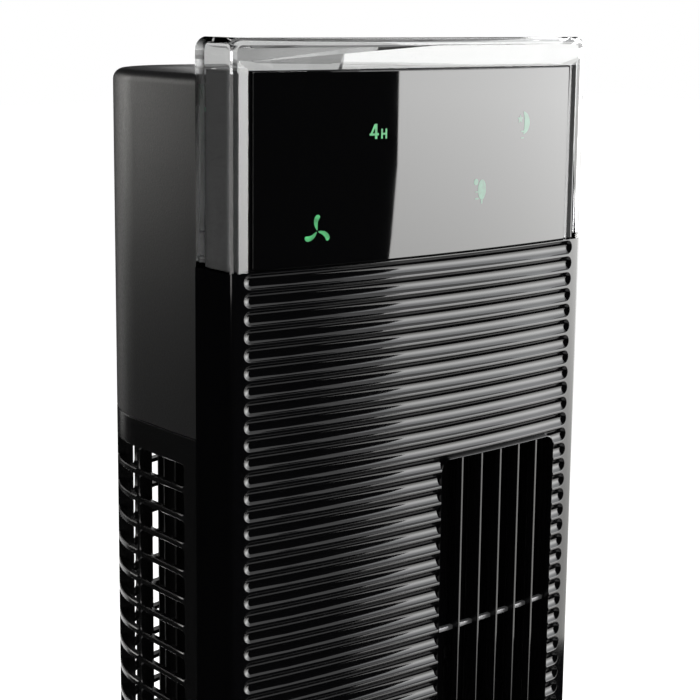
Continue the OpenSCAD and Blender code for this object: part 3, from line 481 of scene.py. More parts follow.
class Shader:
    """A Principled material with procedural colour, roughness and bump."""

    def __init__(self, name, base, rough, **sockets):
        self.material = bpy.data.materials.new(name)
        self.material.use_nodes = True
        self.tree = self.material.node_tree
        self.bsdf = self.tree.nodes["Principled BSDF"]
        self.base = tuple(base) + (1.0,)
        self.bsdf.inputs["Base Color"].default_value = self.base
        self.bsdf.inputs["Roughness"].default_value = rough
        for k, v in sockets.items():
            self.bsdf.inputs[k.replace("_", " ")].default_value = v
        self.coord = self.tree.nodes.new("ShaderNodeTexCoord").outputs["Object"]
        self.normal = None
        self.material.diffuse_color = self.base

    def add(self, kind):
        return self.tree.nodes.new(kind)

    def link(self, a, b):
        self.tree.links.new(a, b)

    def stretched(self, scale):
        m = self.add("ShaderNodeMapping")
        m.inputs["Scale"].default_value = scale
        self.link(self.coord, m.inputs["Vector"])
        return m.outputs[0]

    def noise(self, scale, detail=2.0, stretch=None):
        n = self.add("ShaderNodeTexNoise")
        n.inputs["Scale"].default_value = scale
        n.inputs["Detail"].default_value = detail
        self.link(self.stretched(stretch) if stretch else self.coord, n.inputs["Vector"])
        return n.outputs[0]

    def wave(self, scale, distortion=0.0):
        """Level bands, such as a winding's turns or a core's plates."""
        n = self.add("ShaderNodeTexWave")
        n.wave_type, n.bands_direction = "BANDS", "Z"
        n.inputs["Scale"].default_value = scale
        n.inputs["Distortion"].default_value = distortion
        self.link(self.coord, n.inputs["Vector"])
        return n.outputs["Fac"]

    def bump(self, source, distance, strength=1.0):
        n = self.add("ShaderNodeBump")
        n.inputs["Distance"].default_value = distance
        n.inputs["Strength"].default_value = strength
        self.link(source, n.inputs["Height"])
        if self.normal:
            self.link(self.normal, n.inputs["Normal"])
        self.normal = n.outputs[0]
        self.link(self.normal, self.bsdf.inputs["Normal"])
        return self

    def vary_rough(self, source, low, high):
        n = self.add("ShaderNodeMapRange")
        n.inputs["From Min"].default_value = 0.3
        n.inputs["From Max"].default_value = 0.7
        n.inputs["To Min"].default_value = low
        n.inputs["To Max"].default_value = high
        self.link(source, n.inputs["Value"])
        self.link(n.outputs[0], self.bsdf.inputs["Roughness"])
        return self

    def vary_colour(self, source, other, low=0.35, high=0.65):
        n = self.add("ShaderNodeValToRGB")
        n.color_ramp.elements[0].position = low
        n.color_ramp.elements[0].color = self.base
        n.color_ramp.elements[1].position = high
        n.color_ramp.elements[1].color = tuple(other) + (1.0,)
        self.link(source, n.inputs["Fac"])
        self.link(n.outputs[0], self.bsdf.inputs["Base Color"])
        return self


def shade(base, k):
    return tuple(min(1.0, c * k) for c in base)


def make_finishes():
    """All finishes, by the record's slot name."""
    c = colours()
    out = {}

    def finish(name, base, rough, **sockets):
        out[name] = Shader(name, base, rough, **sockets)
        return out[name]

    s = finish("gloss_black", c.gloss, 0.06, IOR=1.52)
    s.vary_rough(s.noise(38, 3), 0.035, 0.075)
    s.bump(s.noise(120, 1), 0.000012)

    s = finish("satin_grey", (0.22, 0.22, 0.225), 0.42, IOR=1.6, Metallic=0.55)
    s.vary_rough(s.noise(900, 2), 0.36, 0.5)
    s.bump(s.noise(1400, 2), 0.00003, 0.6)

    s = finish("matte_dark", c.matte, 0.38, IOR=1.48)
    s.vary_colour(s.noise(1600, 2), shade(c.matte, 1.45))
    s.vary_rough(s.noise(900, 2), 0.33, 0.43)
    s.bump(s.noise(1500, 2), 0.00006, 0.8)
    s.bump(s.noise(3600, 1), 0.00003, 0.6)

    s = finish("slotted_black", c.slotted, 0.30, IOR=1.5)
    s.vary_rough(s.noise(1500, 2), 0.2, 0.24)
    s.bump(s.noise(1500, 2), 0.000003, 0.4)

    s = finish("clear", (0.985, 0.99, 0.985), 0.012, IOR=1.3, Transmission_Weight=1.0,
               Coat_Weight=1.0, Coat_IOR=1.45, Coat_Roughness=0.015)
    s.bump(s.noise(60, 1), 0.000006, 0.5)

    s = finish("display_black", c.display, 0.02, IOR=1.62)
    s.vary_rough(s.noise(40, 2), 0.012, 0.03)

    s = finish("inner_black", (0.022, 0.022, 0.023), 0.42, IOR=1.48)
    s.vary_rough(s.noise(220, 3), 0.34, 0.5)
    s.bump(s.noise(700, 2), 0.00003, 0.6)

    # near-black for the inner parts: dark plastic darkened further as painted shade for the shade inside the
    # tower
    s = finish("carrier_black", (0.005, 0.005, 0.0055), 0.55, IOR=1.35)
    s.vary_rough(s.noise(300, 3), 0.5, 0.6)

    s = finish("rubber", c.rubber, 0.72, IOR=1.5)
    s.vary_colour(s.noise(500, 3), shade(c.rubber, 1.7))
    s.vary_rough(s.noise(300, 2), 0.62, 0.8)
    s.bump(s.noise(1100, 3), 0.00004, 0.7)

    s = finish("steel", c.steel, 0.28, Metallic=1.0)
    s.vary_rough(s.noise(60, 3, (1, 1, 40)), 0.2, 0.36)
    s.bump(s.noise(80, 2, (1, 1, 60)), 0.00001, 0.7)

    s = finish("screw_steel", (0.60, 0.59, 0.55), 0.32, Metallic=1.0)
    s.vary_colour(s.noise(400, 3), (0.52, 0.52, 0.50))
    s.vary_rough(s.noise(500, 3), 0.24, 0.42)

    s = finish("black_screw", (0.02, 0.02, 0.022), 0.4, Metallic=0.6)
    s.vary_rough(s.noise(600, 3), 0.3, 0.5)
    s.bump(s.noise(900, 2), 0.00002, 0.6)

    s = finish("bronze", (0.50, 0.34, 0.17), 0.45, Metallic=1.0)
    s.vary_colour(s.noise(900, 3), (0.36, 0.24, 0.12))
    s.vary_rough(s.noise(900, 3), 0.38, 0.55)
    s.bump(s.noise(1500, 2), 0.00002, 0.7)

    s = finish("copper", (0.62, 0.24, 0.09), 0.3, Metallic=1.0)
    band = s.wave(480, 1.5)
    s.vary_colour(band, (0.36, 0.12, 0.04), 0.2, 0.8)
    s.bump(band, 0.00015, 0.8)

    s = finish("motor_steel", (0.50, 0.51, 0.52), 0.34, Metallic=1.0)
    s.vary_colour(s.noise(90, 4), (0.42, 0.43, 0.45))
    s.vary_rough(s.noise(140, 3), 0.26, 0.44)
    s.bump(s.noise(600, 2), 0.00001, 0.6)

    s = finish("core_steel", (0.30, 0.30, 0.31), 0.4, Metallic=1.0)
    band = s.wave(330)
    s.vary_colour(band, (0.16, 0.16, 0.17), 0.3, 0.7)
    s.bump(band, 0.00008, 0.7)

    s = finish("ballast_iron", (0.055, 0.055, 0.058), 0.62, Metallic=0.5)
    s.vary_colour(s.noise(160, 5), (0.10, 0.09, 0.085))
    s.bump(s.noise(420, 5), 0.0002, 0.8)

    s = finish("nylon", c.nylon, 0.38, IOR=1.53, Subsurface_Weight=0.15,
               Subsurface_Radius=(0.002, 0.0018, 0.0014))
    s.vary_colour(s.noise(120, 3), shade(c.nylon, 0.93))
    s.vary_rough(s.noise(200, 3), 0.3, 0.46)

    s = finish("board", c.board, 0.25, IOR=1.5)
    brick = s.add("ShaderNodeTexBrick")
    brick.inputs["Scale"].default_value = 120
    brick.inputs["Color1"].default_value = s.base
    brick.inputs["Color2"].default_value = tuple(shade(c.board, 1.25)) + (1.0,)
    brick.inputs["Mortar"].default_value = tuple(shade(c.board, 1.9)) + (1.0,)
    brick.inputs["Mortar Size"].default_value = 0.09
    s.link(s.coord, brick.inputs["Vector"])
    s.link(brick.outputs["Color"], s.bsdf.inputs["Base Color"])
    s.bump(brick.outputs["Fac"], 0.00004, 0.6)

    s = finish("component", (0.03, 0.03, 0.032), 0.42)
    s.vary_colour(s.noise(70, 1), (0.10, 0.09, 0.05), 0.5, 0.52)
    s.vary_rough(s.noise(400, 2), 0.3, 0.5)

    s = finish("white_case", (0.66, 0.65, 0.60), 0.4)
    s.vary_colour(s.noise(90, 3), (0.60, 0.585, 0.53))
    s.bump(s.noise(800, 2), 0.00002, 0.5)

    s = finish("key", (0.018, 0.018, 0.019), 0.34, IOR=1.5)
    s.vary_rough(s.noise(700, 2), 0.28, 0.42)
    s.bump(s.noise(1500, 2), 0.00002, 0.6)

    s = finish("guide", (0.55, 0.80, 0.62), 0.35, IOR=1.5, Subsurface_Weight=0.4,
               Subsurface_Radius=(0.002, 0.003, 0.002))
    s.vary_rough(s.noise(500, 2), 0.28, 0.42)

    for name, tint, power, rough in (("symbol_lit", c.symbol, 1.0, 0.3),
                                     ("symbol_pale", c.symbol_pale, 0.2, 0.03)):
        s = finish(name, (0.01, 0.012, 0.01), rough, IOR=1.62)
        n = s.noise(420, 2)
        ramp = s.add("ShaderNodeValToRGB")
        ramp.color_ramp.elements[0].position, ramp.color_ramp.elements[1].position = 0.3, 0.7
        ramp.color_ramp.elements[0].color = tuple(shade(tint, 0.6)) + (1.0,)
        ramp.color_ramp.elements[1].color = tuple(shade(tint, 1.3)) + (1.0,)
        s.link(n, ramp.inputs["Fac"])
        s.link(ramp.outputs[0], s.bsdf.inputs["Emission Color"])
        s.bsdf.inputs["Emission Strength"].default_value = power

    s = finish("key_mark", (0.62, 0.63, 0.63), 0.5)
    s.vary_rough(s.noise(900, 2), 0.4, 0.6)
    s.vary_colour(s.noise(900, 2), (0.54, 0.55, 0.55))
    return {k: v.material for k, v in out.items()}


FINISH = {}


# ---------------------------------------------------------------- pieces

# plain strip between the flutes' ends and the panel's rounded sides
FLUTE_MARGIN = 0.35


def strip_stops():
    """Places across the face at which the straight middle of a flute has points."""
    s = sizes()
    xc = s.flute_end - s.flute_half
    return [-xc + 2 * xc * k / 10 for k in range(11)]


def panel_columns():
    """Outer and inner outline of the front panel's walls, and which of them lie on the face."""
    s = sizes()
    w, side = s.half_width, s.half_width - 2.2
    edge = front_point(w)[1]
    outer = [(-w, s.joint_y), (-w, edge + 12.0), (-w, edge + 1.6)]
    p0, p1, p2 = Vector((-w, edge + 1.3)), Vector((-w, edge + 0.05)), Vector(front_point(-w + 1.5))
    for t in (0.0, 0.25, 0.5, 0.75, 1.0):
        outer.append(tuple(p0 * (1 - t) ** 2 + p1 * 2 * t * (1 - t) + p2 * t ** 2))
    end = s.flute_end + FLUTE_MARGIN
    xs = [-end] + strip_stops() + [end]
    face = len(outer)
    outer += [front_point(x) for x in xs]
    outer += [(-x, y) for x, y in reversed(outer[:face])]
    inner = []
    for x, y in outer:
        ix = max(-side, min(side, x))
        inner.append((ix, max(y, front_point(ix, s.wall)[1])))
    inner = [(-side if i < 3 else ix, iy) for i, (ix, iy) in enumerate(inner)]
    inner = [(side if i >= len(inner) - 3 else ix, iy) for i, (ix, iy) in enumerate(inner)]
    return outer, inner, face, len(xs)


def flute_rings():
    """Where a flute's floor turns into its rounded edge, and where that edge meets the face."""
    s = sizes()
    fr, lip = s.flute_r, s.flute_lip
    top = math.sqrt(s.flute_depth * (2 * fr + 2 * lip - s.flute_depth))
    return top * fr / (fr + lip), top


def flute_floor(r):
    """Depth of a flute at a distance from its middle line."""
    s = sizes()
    fr, lip = s.flute_r, s.flute_lip
    turn, top = flute_rings()
    if r <= turn:
        return math.sqrt(fr * fr - r * r) - (fr - s.flute_depth)
    return 0.0 if r >= top else lip - math.sqrt(lip * lip - (top - r) ** 2)


def flute_cell(z):
    """One flute across the face with the panel's walls behind it, z at its middle."""
    s = sizes()
    outer, inner, face, count = panel_columns()
    half, end, h = s.flute_half, s.flute_end, s.flute_pitch / 2
    xc = end - half
    turn, top = flute_rings()
    rings = [0.0, 0.95, 1.7, 2.2, turn, turn + (top - turn) * 0.33, turn + (top - turn) * 0.66, top, half]
    verts, faces, key = [], [], {}

    def v(x, y, zz):
        k = (round(x, 4), round(y, 4), round(zz, 4))
        if k not in key:
            key[k] = len(verts)
            verts.append((x, y, zz))
        return key[k]

    def f(*p):
        faces.append(tuple(v(*q) for q in p))

    def on(x, r, zz):
        px, py = front_point(x, flute_floor(r))
        return px, py, z + zz
    # strip
    xs = strip_stops()
    zs = [-h] + [-r for r in reversed(rings[1:])] + rings + [h]
    for a, b in zip(xs, xs[1:]):
        for z1, z2 in zip(zs, zs[1:]):
            f(on(a, abs(z1), z1), on(b, abs(z1), z1), on(b, abs(z2), z2), on(a, abs(z2), z2))
    # round ends
    for side in (-1, 1):
        angles = [math.radians(90 + 22.5 * k) for k in range(9)]

        def pt(r, t):
            return on(side * (xc - r * math.cos(t)), r, r * math.sin(t))
        for t1, t2 in zip(angles, angles[1:]):
            f(pt(0, t1), pt(rings[1], t1), pt(rings[1], t2))
            for r1, r2 in zip(rings[1:], rings[2:]):
                f(pt(r1, t1), pt(r2, t1), pt(r2, t2), pt(r1, t2))
        xe = side * (end + FLUTE_MARGIN)
        for k in (1, -1):
            q = [angles[i] if k > 0 else -angles[i] for i in range(5)]
            corner, mid = on(xe, half, k * h), on(xe, half, 0)
            f(pt(half, q[0]), pt(half, q[1]), corner, on(side * xc, half, k * h))
            f(pt(half, q[1]), pt(half, q[2]), corner)
            f(pt(half, q[2]), pt(half, q[3]), corner)
            f(pt(half, q[3]), pt(half, q[4]), mid, corner)
    # walls beside the flute and behind it
    n = len(outer)
    for i in range(n - 1):
        a, b = outer[i], outer[i + 1]
        if not face <= i < face + count - 1:
            for z1, z2 in ((-h, 0), (0, h)):
                f((*a, z + z1), (*b, z + z1), (*b, z + z2), (*a, z + z2))
        a, b = inner[i], inner[i + 1]
        if a != b:
            f((*a, z - h), (*a, z + h), (*b, z + h), (*b, z - h))
    for i in (0, n - 1):
        a, b = outer[i], inner[i]
        f((*a, z - h), (*a, z), (*a, z + h), (*b, z + h), (*b, z - h))
    return verts, faces


def plain_walls(z1, z2, cap1, cap2):
    """The panel's walls without flutes between two heights."""
    outer, inner = panel_columns()[:2]
    verts, faces = [], []
    n = len(outer)
    for ring, z in ((outer, z1), (outer, z2), (inner, z1), (inner, z2)):
        verts += at_height(ring, z)
    for i in range(n - 1):
        faces.append((i, i + 1, n + i + 1, n + i))
        faces.append((2 * n + i, 3 * n + i, 3 * n + i + 1, 2 * n + i + 1))
        if cap1:
            faces.append((i, 2 * n + i, 2 * n + i + 1, i + 1))
        if cap2:
            faces.append((n + i, n + i + 1, 3 * n + i + 1, 3 * n + i))
    for i in (0, n - 1):
        faces.append((i, n + i, 3 * n + i, 2 * n + i))
    return verts, faces


def outlet_outline(grow_by, step=0.0, steps=6):
    """Rounded outline of the air outlet in x and z; step spaces points along its upright sides."""
    s = sizes()
    r = s.outlet_r + grow_by
    x1, x2 = s.outlet_x1 - grow_by, s.outlet_x2 + grow_by
    z1, z2 = s.outlet_z1 - grow_by, s.outlet_z2 + grow_by
    corners = []
    for cx, cz, a0 in ((x2 - r, z1 + r, -90), (x2 - r, z2 - r, 0),
                       (x1 + r, z2 - r, 90), (x1 + r, z1 + r, 180)):
        corners.append([(cx + r * math.cos(math.radians(a0 + 90 * k / steps)),
                         cz + r * math.sin(math.radians(a0 + 90 * k / steps))) for k in range(steps + 1)])
    out = []
    for i, pts in enumerate(corners):
        out += pts
        p, q = pts[-1], corners[(i + 1) % 4][0]
        parts = 8 if i % 2 else (int(round((s.outlet_z2 - s.outlet_z1) / step)) if step else 1)
        out += [(p[0] + (q[0] - p[0]) * k / parts, p[1] + (q[1] - p[1]) * k / parts) for k in range(1, parts)]
    return out


def build_front_panel():
    """Fluted gloss panel with round flute ends, the outlet and its lip."""
    s = sizes()
    paint = FINISH["gloss_black"]
    top = s.panel_top
    verts, faces = flute_cell(top - s.flute_pitch / 2)
    body = new_object("flutes", verts, faces, paint)
    body = grow(body, stack_tree(), Count=s.flute_count, Step=(0, 0, -s.flute_pitch * MM), Material=paint)
    last = top - s.flute_count * s.flute_pitch
    foot = new_object("foot", *plain_walls(s.panel_foot, last, True, False), paint)
    body = join("front_skin", [body, foot])
    # top edge of the walls
    outer, inner = panel_columns()[:2]
    n = len(outer)
    rim = new_object("rim", at_height(outer + inner, top),
                     [(i, i + 1, n + i + 1, n + i) for i in range(n - 1)], paint)
    body = tidy_mesh(join("front_skin", [body, rim]))
    # the opening, a hair wider than the rim that lines it
    tool = outlet_outline(0.54)
    ends = (s.crown_y - 14, s.joint_y + 10)
    body = cut(body, tidy_mesh(loft("outlet", [upright(tool, y) for y in ends], None)))
    # thin rounded rim round the outlet, standing above the flutes' floors
    rings = [curved_ring(outlet_outline(out, 4.0), deep)
             for out, deep in ((0.0, s.wall), (0.0, 0.36), (0.08, 0.2), (0.25, 0.12), (0.42, 0.2),
                               (0.5, 0.36), (0.5, s.wall))]
    lip_ob = hoop("lip", rings, paint)
    plate = []
    for x, y in inner:
        if not plate or math.hypot(x - plate[-1][0], y - plate[-1][1]) > 0.01:
            plate.append((x, y))
    deck = tidy_mesh(loft("deck", [at_height(plate, z) for z in (top - s.wall, top)], paint))
    ob = join("fluted_front", [body, lip_ob, deck])
    ob.data.shade_smooth()
    ob.data.set_sharp_from_angle(angle=math.radians(40))
    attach(ob, "tower")
    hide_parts("front_panel")


def build_outlet_grille():
    """Upright fins with round edges, cross bars behind their fronts and a frame."""
    s = sizes()
    paint = FINISH["gloss_black"]
    recess, deep, t = 0.4, 8.0, 1.0
    y0 = s.crown_y + recess
    outline = rounded([(-t / 2, y0), (t / 2, y0), (t / 2, y0 + deep), (-t / 2, y0 + deep)], 0.14, 2)
    z1, z2 = s.outlet_z1, s.outlet_z2
    fin = tidy_mesh(loft("fin", [at_height(outline, z) for z in (z1, z2)], paint))
    pitch = (s.outlet_x2 - s.outlet_x1) / (s.fin_count + 1)
    fins = grow(fin, curve_row_tree(), Count=s.fin_count, Start=(s.outlet_x1 + pitch) * MM, Pitch=pitch * MM,
                Radius=s.front_r * MM, Material=paint)
    step = (z2 - z1) / (s.bar_count + 1)
    ring_z = z2 - step
    satin = FINISH["satin_grey"]
    section = rounded([(3.2, -0.8), (5.0, -0.8), (5.0, 0.8), (3.2, 0.8)], 0.25, 2)
    rings = []
    for k in range(9):
        x = s.outlet_x1 - 0.9 + (s.outlet_x2 - s.outlet_x1 + 1.8) * k / 8
        rings.append([(*front_point(x, d), ring_z + h) for d, h in section])
    bar = tidy_mesh(loft("bar", rings, satin))
    bars = grow(bar, stack_tree(), Count=s.bar_count, Step=(0, 0, -step * MM), Material=satin)
    bars.name = "outlet_bars"
    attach(bars, "tower")
    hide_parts("outlet_grille")
    # frame behind the panel
    x1, x2 = s.outlet_x1, s.outlet_x2
    edge = 4.0
    frame_rings = []
    for g, d in ((0.0, s.wall + 0.12), (edge, s.wall + 0.12), (edge, recess + deep), (0.0, recess + deep)):
        ring = []
        xs = [x1 - g + (x2 - x1 + 2 * g) * k / 8 for k in range(9)]
        for x in xs:
            ring.append((*front_point(x, d), z1 - g))
        for x in reversed(xs):
            ring.append((*front_point(x, d), z2 + g))
        frame_rings.append(ring)
    surround = hoop("surround", frame_rings, paint)
    ob = join("outlet_fins", [fins, surround])
    ob.data.shade_smooth()
    ob.data.set_sharp_from_angle(angle=math.radians(40))
    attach(ob, "tower")
    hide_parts("outlet_grille")


# corner radius of a slot and the bevel round its edge
SLOT_R, SLOT_BEVEL = 1.4, 0.3


def slot_columns():
    """Places of the slots along the wall and of the columns of points between them."""
    s = sizes()
    side = shell_end() - s.rib_front
    back = side - 2 * s.rib_pitch
    ribs = [back / 2, back, back + s.rib_pitch, side]
    centres = [-d for d in reversed(ribs)] + [0.0] + ribs
    edge = shell_end() - s.slot_margin
    stops = [-edge - s.rib_w / 2] + centres + [edge + s.rib_w / 2]
    return [(a + s.rib_w / 2, b - s.rib_w / 2) for a, b in zip(stops, stops[1:])]


def slot_profile(d1, d2, grow_by=SLOT_BEVEL):
    """Columns of one slot: distance along the wall and how far its edge is cut back there."""
    cols = []
    r, turn = SLOT_R, 3
    for k in range(turn + 1):
        a = math.pi / 2 * k / turn
        cols.append((d1 + r - r * math.cos(a), r - r * math.sin(a)))
    inner1, inner2 = d1 + r, d2 - r
    parts = max(2, round((inner2 - inner1) / 4.4))
    for k in range(1, parts):
        cols.append((inner1 + (inner2 - inner1) * k / parts, 0.0))
    for k in range(turn + 1):
        a = math.pi / 2 * (turn - k) / turn
        cols.append((d2 - r + r * math.cos(a), r - r * math.sin(a)))
    mid = (d1 + d2) / 2
    k = (d2 - d1 + 2 * grow_by) / (d2 - d1)
    return [(mid + (d - mid) * k, cut_back) for d, cut_back in cols]


def wall_depth(d1, d2):
    """Depth of the wall between two slots, more where there is an upright rib."""
    s = sizes()
    return s.rib_d if d2 - d1 < 4 and abs(d1 + d2) > 4 else s.wall


def rib_caps(z):
    """Ends of the upright ribs' inner parts at one height."""
    s = sizes()
    verts, faces = [], []
    slots = [slot_profile(d1, d2) for d1, d2 in slot_columns()]
    for left, right in zip(slots, slots[1:]):
        d1, d2 = left[-1][0], right[0][0]
        deep = wall_depth(d1, d2)
        if deep > s.wall:
            n = len(verts)
            verts += [(*shell_point(d, e), z)
                      for d, e in ((d1, s.wall), (d2, s.wall), (d2, deep), (d1, deep))]
            faces.append((n, n + 1, n + 2, n + 3))
    return verts, faces


def wall_stops():
    """Distances along the wall at which the shells' strips have points."""
    stops = [-shell_end()]
    for d1, d2 in slot_columns():
        stops += [d for d, _ in slot_profile(d1, d2)]
    return stops + [shell_end()]


def grille_row(z):
    """One row of slots round the rear wall, z at its middle."""
    s = sizes()
    h, half, r, c = s.slot_pitch / 2, s.slot_h / 2, SLOT_R, SLOT_BEVEL
    verts, faces, key = [], [], {}

    def v(d, deep, zz):
        x, y = shell_point(d, deep)
        k = (round(x, 4), round(y, 4), round(zz, 4))
        if k not in key:
            key[k] = len(verts)
            verts.append((x, y, z + zz))
        return key[k]

    def quad(*p):
        faces.append(tuple(v(*q) for q in p))
    slots = slot_columns()
    last = -shell_end()
    tall = half - r
    for d1, d2 in slots + [(None, None)]:
        out = slot_profile(d1, d2) if d1 is not None else [(shell_end(), 0)]
        start = out[0][0]
        thick = wall_depth(last, start)
        for z1, z2 in ((-h, -tall), (-tall, tall), (tall, h)):
            for deep in (0.0, thick):
                quad((last, deep, z1), (start, deep, z1), (start, deep, z2), (last, deep, z2))
            for d in (last, start) if thick > s.wall else ():
                quad((d, s.wall, z1), (d, thick, z1), (d, thick, z2), (d, s.wall, z2))
        if d1 is None:
            break
        low = slot_profile(d1, d2, 0.0)
        for i in range(len(out) - 1):
            (a, ca), (b, cb) = out[i], out[i + 1]
            for side in (-1, 1):
                za = side * (half + c * (1 - ca / r) - ca) if ca < r else side * tall
                zb = side * (half + c * (1 - cb / r) - cb) if cb < r else side * tall
                for deep in (0.0, s.wall):
                    quad((a, deep, side * h), (b, deep, side * h), (b, deep, zb), (a, deep, za))
                la, lb = low[i], low[i + 1]
                na, nb = side * (half - la[1]), side * (half - lb[1])
                quad((a, 0.0, za), (b, 0.0, zb), (lb[0], c, nb), (la[0], c, na))
                quad((la[0], c, na), (lb[0], c, nb), (b, s.wall, zb), (a, s.wall, za))
        for i in (0, len(out) - 1):
            a, la = out[i][0], low[i][0]
            quad((a, 0.0, -tall), (a, 0.0, tall), (la, c, tall), (la, c, -tall))
            quad((la, c, -tall), (la, c, tall), (a, s.wall, tall), (a, s.wall, -tall))
        last = out[-1][0]
    for d in (-shell_end(), shell_end()):
        faces.append((v(d, 0, -h), v(d, 0, -tall), v(d, 0, tall), v(d, 0, h),
                      v(d, s.wall, h), v(d, s.wall, tall), v(d, s.wall, -tall), v(d, s.wall, -h)))
    return verts, faces


def wall_band(z1, z2, bevel_low=0.0, bevel_high=0.0):
    """A closed strip of the rear wall without slots, open where it meets the slot rows."""
    s = sizes()
    stops = wall_stops()
    levels = []
    if bevel_low:
        levels += [(s.wall, z1), (bevel_low, z1), (0.0, z1 + bevel_low)]
    else:
        levels += [(0.0, z1)]
    if bevel_high:
        levels += [(0.0, z2 - bevel_high), (bevel_high, z2), (s.wall, z2)]
    else:
        levels += [(0.0, z2)]
    if not bevel_high:
        levels += [(s.wall, z2)]
    if not bevel_low:
        levels = levels + [(s.wall, z1)]
    verts = [(*shell_point(d, deep), z) for deep, z in levels for d in stops]
    n, m = len(stops), len(levels)
    faces = []
    for k in range(m):
        j = (k + 1) % m
        a, b = levels[k], levels[j]
        if (not bevel_low and {a[1], b[1]} == {z1}) or (not bevel_high and {a[1], b[1]} == {z2}):
            continue
        faces += [(k * n + i, k * n + i + 1, j * n + i + 1, j * n + i) for i in range(n - 1)]
    for i in (0, n - 1):
        faces.append(tuple(k * n + i for k in range(m)))
    return verts, faces


# half the spacing of the rear screws, and the radius of their sunk seats
SCREW_X, SCREW_SEAT_R = 30.0, 3.3
# bevel of the shells' edges along the seam between them
SEAM_BEVEL = 0.35


def screw_recess(x, z, y):
    """Tool that cuts a screw's sunk seat and the hole behind it."""
    ring = circle(x, z, SCREW_SEAT_R, 24)
    small = [(x + (px - x) * 0.5, z + (pz - z) * 0.5) for px, pz in ring]
    rings = [upright(ring, y + 2), upright(ring, y - 1.3), upright(small, y - 1.31), upright(small, y - 5)]
    return tidy_mesh(loft("recess", rings, None), merge=0)


def build_rear_grille():
    """Slotted rear shell with its solid bands."""
    s = sizes()
    paint = FINISH["slotted_black"]
    mid = s.slot_top - s.slot_h / 2
    row = new_object("row", *grille_row(mid), paint)
    rows = grow(row, stack_tree(), Count=s.slot_rows, Step=(0, 0, -s.slot_pitch * MM), Material=paint)
    top = mid + s.slot_pitch / 2
    foot = mid - s.slot_pitch * (s.slot_rows - 0.5)
    high = new_object("high", *wall_band(top, s.seam_z - 0.15, 0.0, SEAM_BEVEL), paint)
    low = new_object("low", *wall_band(s.panel_foot, foot, 0.4, 0.0), paint)
    caps = [new_object("caps", *rib_caps(z), paint) for z in (top, foot)]
    ob = tidy_mesh(join("slotted_shell", [rows, high, low] + caps))
    ob = cut(ob, *[screw_recess(x, z, s.back_y) for x in (-SCREW_X, SCREW_X) for z in (67, 187.5)])
    ob.name = "slotted_shell"
    ob.data.set_sharp_from_angle(angle=math.radians(32))
    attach(ob, "tower")
    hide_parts("rear_grille")


def shell_outline(inset, front=0.0, arcs=14):
    """Closed plan of the rear shells, moved inwards."""
    s = sizes()
    cx, cy = s.shell_x - s.corner_r, s.back_y - s.corner_r
    r = s.corner_r - inset
    pts = [(-(s.shell_x - inset), s.joint_y + front), (s.shell_x - inset, s.joint_y + front)]
    for k in range(arcs + 1):
        a = math.pi / 2 * k / arcs
        pts.append((cx + r * math.cos(a), cy + r * math.sin(a)))
    for k in range(arcs + 1):
        a = math.pi / 2 + math.pi / 2 * k / arcs
        pts.append((-cx + r * math.cos(a), cy + r * math.sin(a)))
    return pts


def stadium(half_l, r, y, steps=16):
    """Plan of a slot shape with round ends, centred on x = 0."""
    pts = []
    for side in (1, -1):
        for k in range(steps + 1):
            a = math.radians(-90 + 180 * k / steps)
            pts.append((side * (half_l - r) + side * r * math.cos(a), y + side * r * math.sin(a)))
    return pts


KEY_X = {"power": -38.0, "speed": -19.0, "mode": 0.0, "timer": 19.0, "swing": 38.0}
TRAY_Y = 12.0
TRAY_HALF, TRAY_R = 50, 15
KEY_HOLE_R = 7.3


def build_rear_housing():
    """Matt upper shell with a rounded top edge and the sunk key tray."""
    s = sizes()
    paint = FINISH["matte_dark"]
    top, r = s.housing_top, 4.0
    rings = [at_height(shell_outline(SEAM_BEVEL), s.seam_z + 0.02),
             at_height(shell_outline(0.0), s.seam_z + SEAM_BEVEL)]
    for k in range(7):
        a = math.pi / 2 * k / 6
        rings.append(at_height(shell_outline(r - r * math.cos(a)), top - r + r * math.sin(a)))
    ob = tidy_mesh(loft("housing", rings, paint), merge=0)
    inner = tidy_mesh(loft("inner", [at_height(shell_outline(s.wall, -4), z)
                                     for z in (s.seam_z - 4, top - s.wall)], None), merge=0)
    # the tray's side: a lead-in, its rounded edge, then straight down to a small fillet
    tray = []
    for grow_by, z in ((1.2, top + 1), (1.2, top + 0.001), (0.75, top - 0.12), (0.35, top - 0.35),
                       (0.09, top - 0.75), (0.0, top - 1.2), (0.0, top - 2.2), (-0.12, top - 2.42),
                       (-0.35, top - 2.5)):
        tray.append(at_height(stadium(TRAY_HALF + grow_by, TRAY_R + grow_by, TRAY_Y), z))
    ob = cut(ob, inner)
    block = stadium(TRAY_HALF + 2, TRAY_R + 2, TRAY_Y)
    pad = tidy_mesh(loft("pad", [at_height(block, z) for z in (top - 4.7, top - 1.5)], paint), merge=0)
    m = ob.modifiers.new("Add", "BOOLEAN")
    m.operation, m.solver, m.object = "UNION", "MANIFOLD", pad
    evaluated(ob)
    bpy.data.objects.remove(pad)
    holes = []
    for x in KEY_X.values():
        ring = circle(x, TRAY_Y, KEY_HOLE_R, 40)
        hole = loft("hole", [at_height(ring, z) for z in (top - 8, top + 3)], None)
        holes.append(tidy_mesh(hole, merge=0))
    ob = cut(ob, tidy_mesh(loft("tray", tray, None), merge=0), *holes)
    ob = cut(ob, *[screw_recess(x, s.seam_z + 6, s.back_y) for x in (-SCREW_X, SCREW_X)])
    ob.name = "matt_housing"
    ob.data.shade_smooth()
    ob.data.set_sharp_from_angle(angle=math.radians(32))
    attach(ob, "tower")
    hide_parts("rear_housing")


# points across the cover's long edges, so that they follow the curved front
SPANS = 24


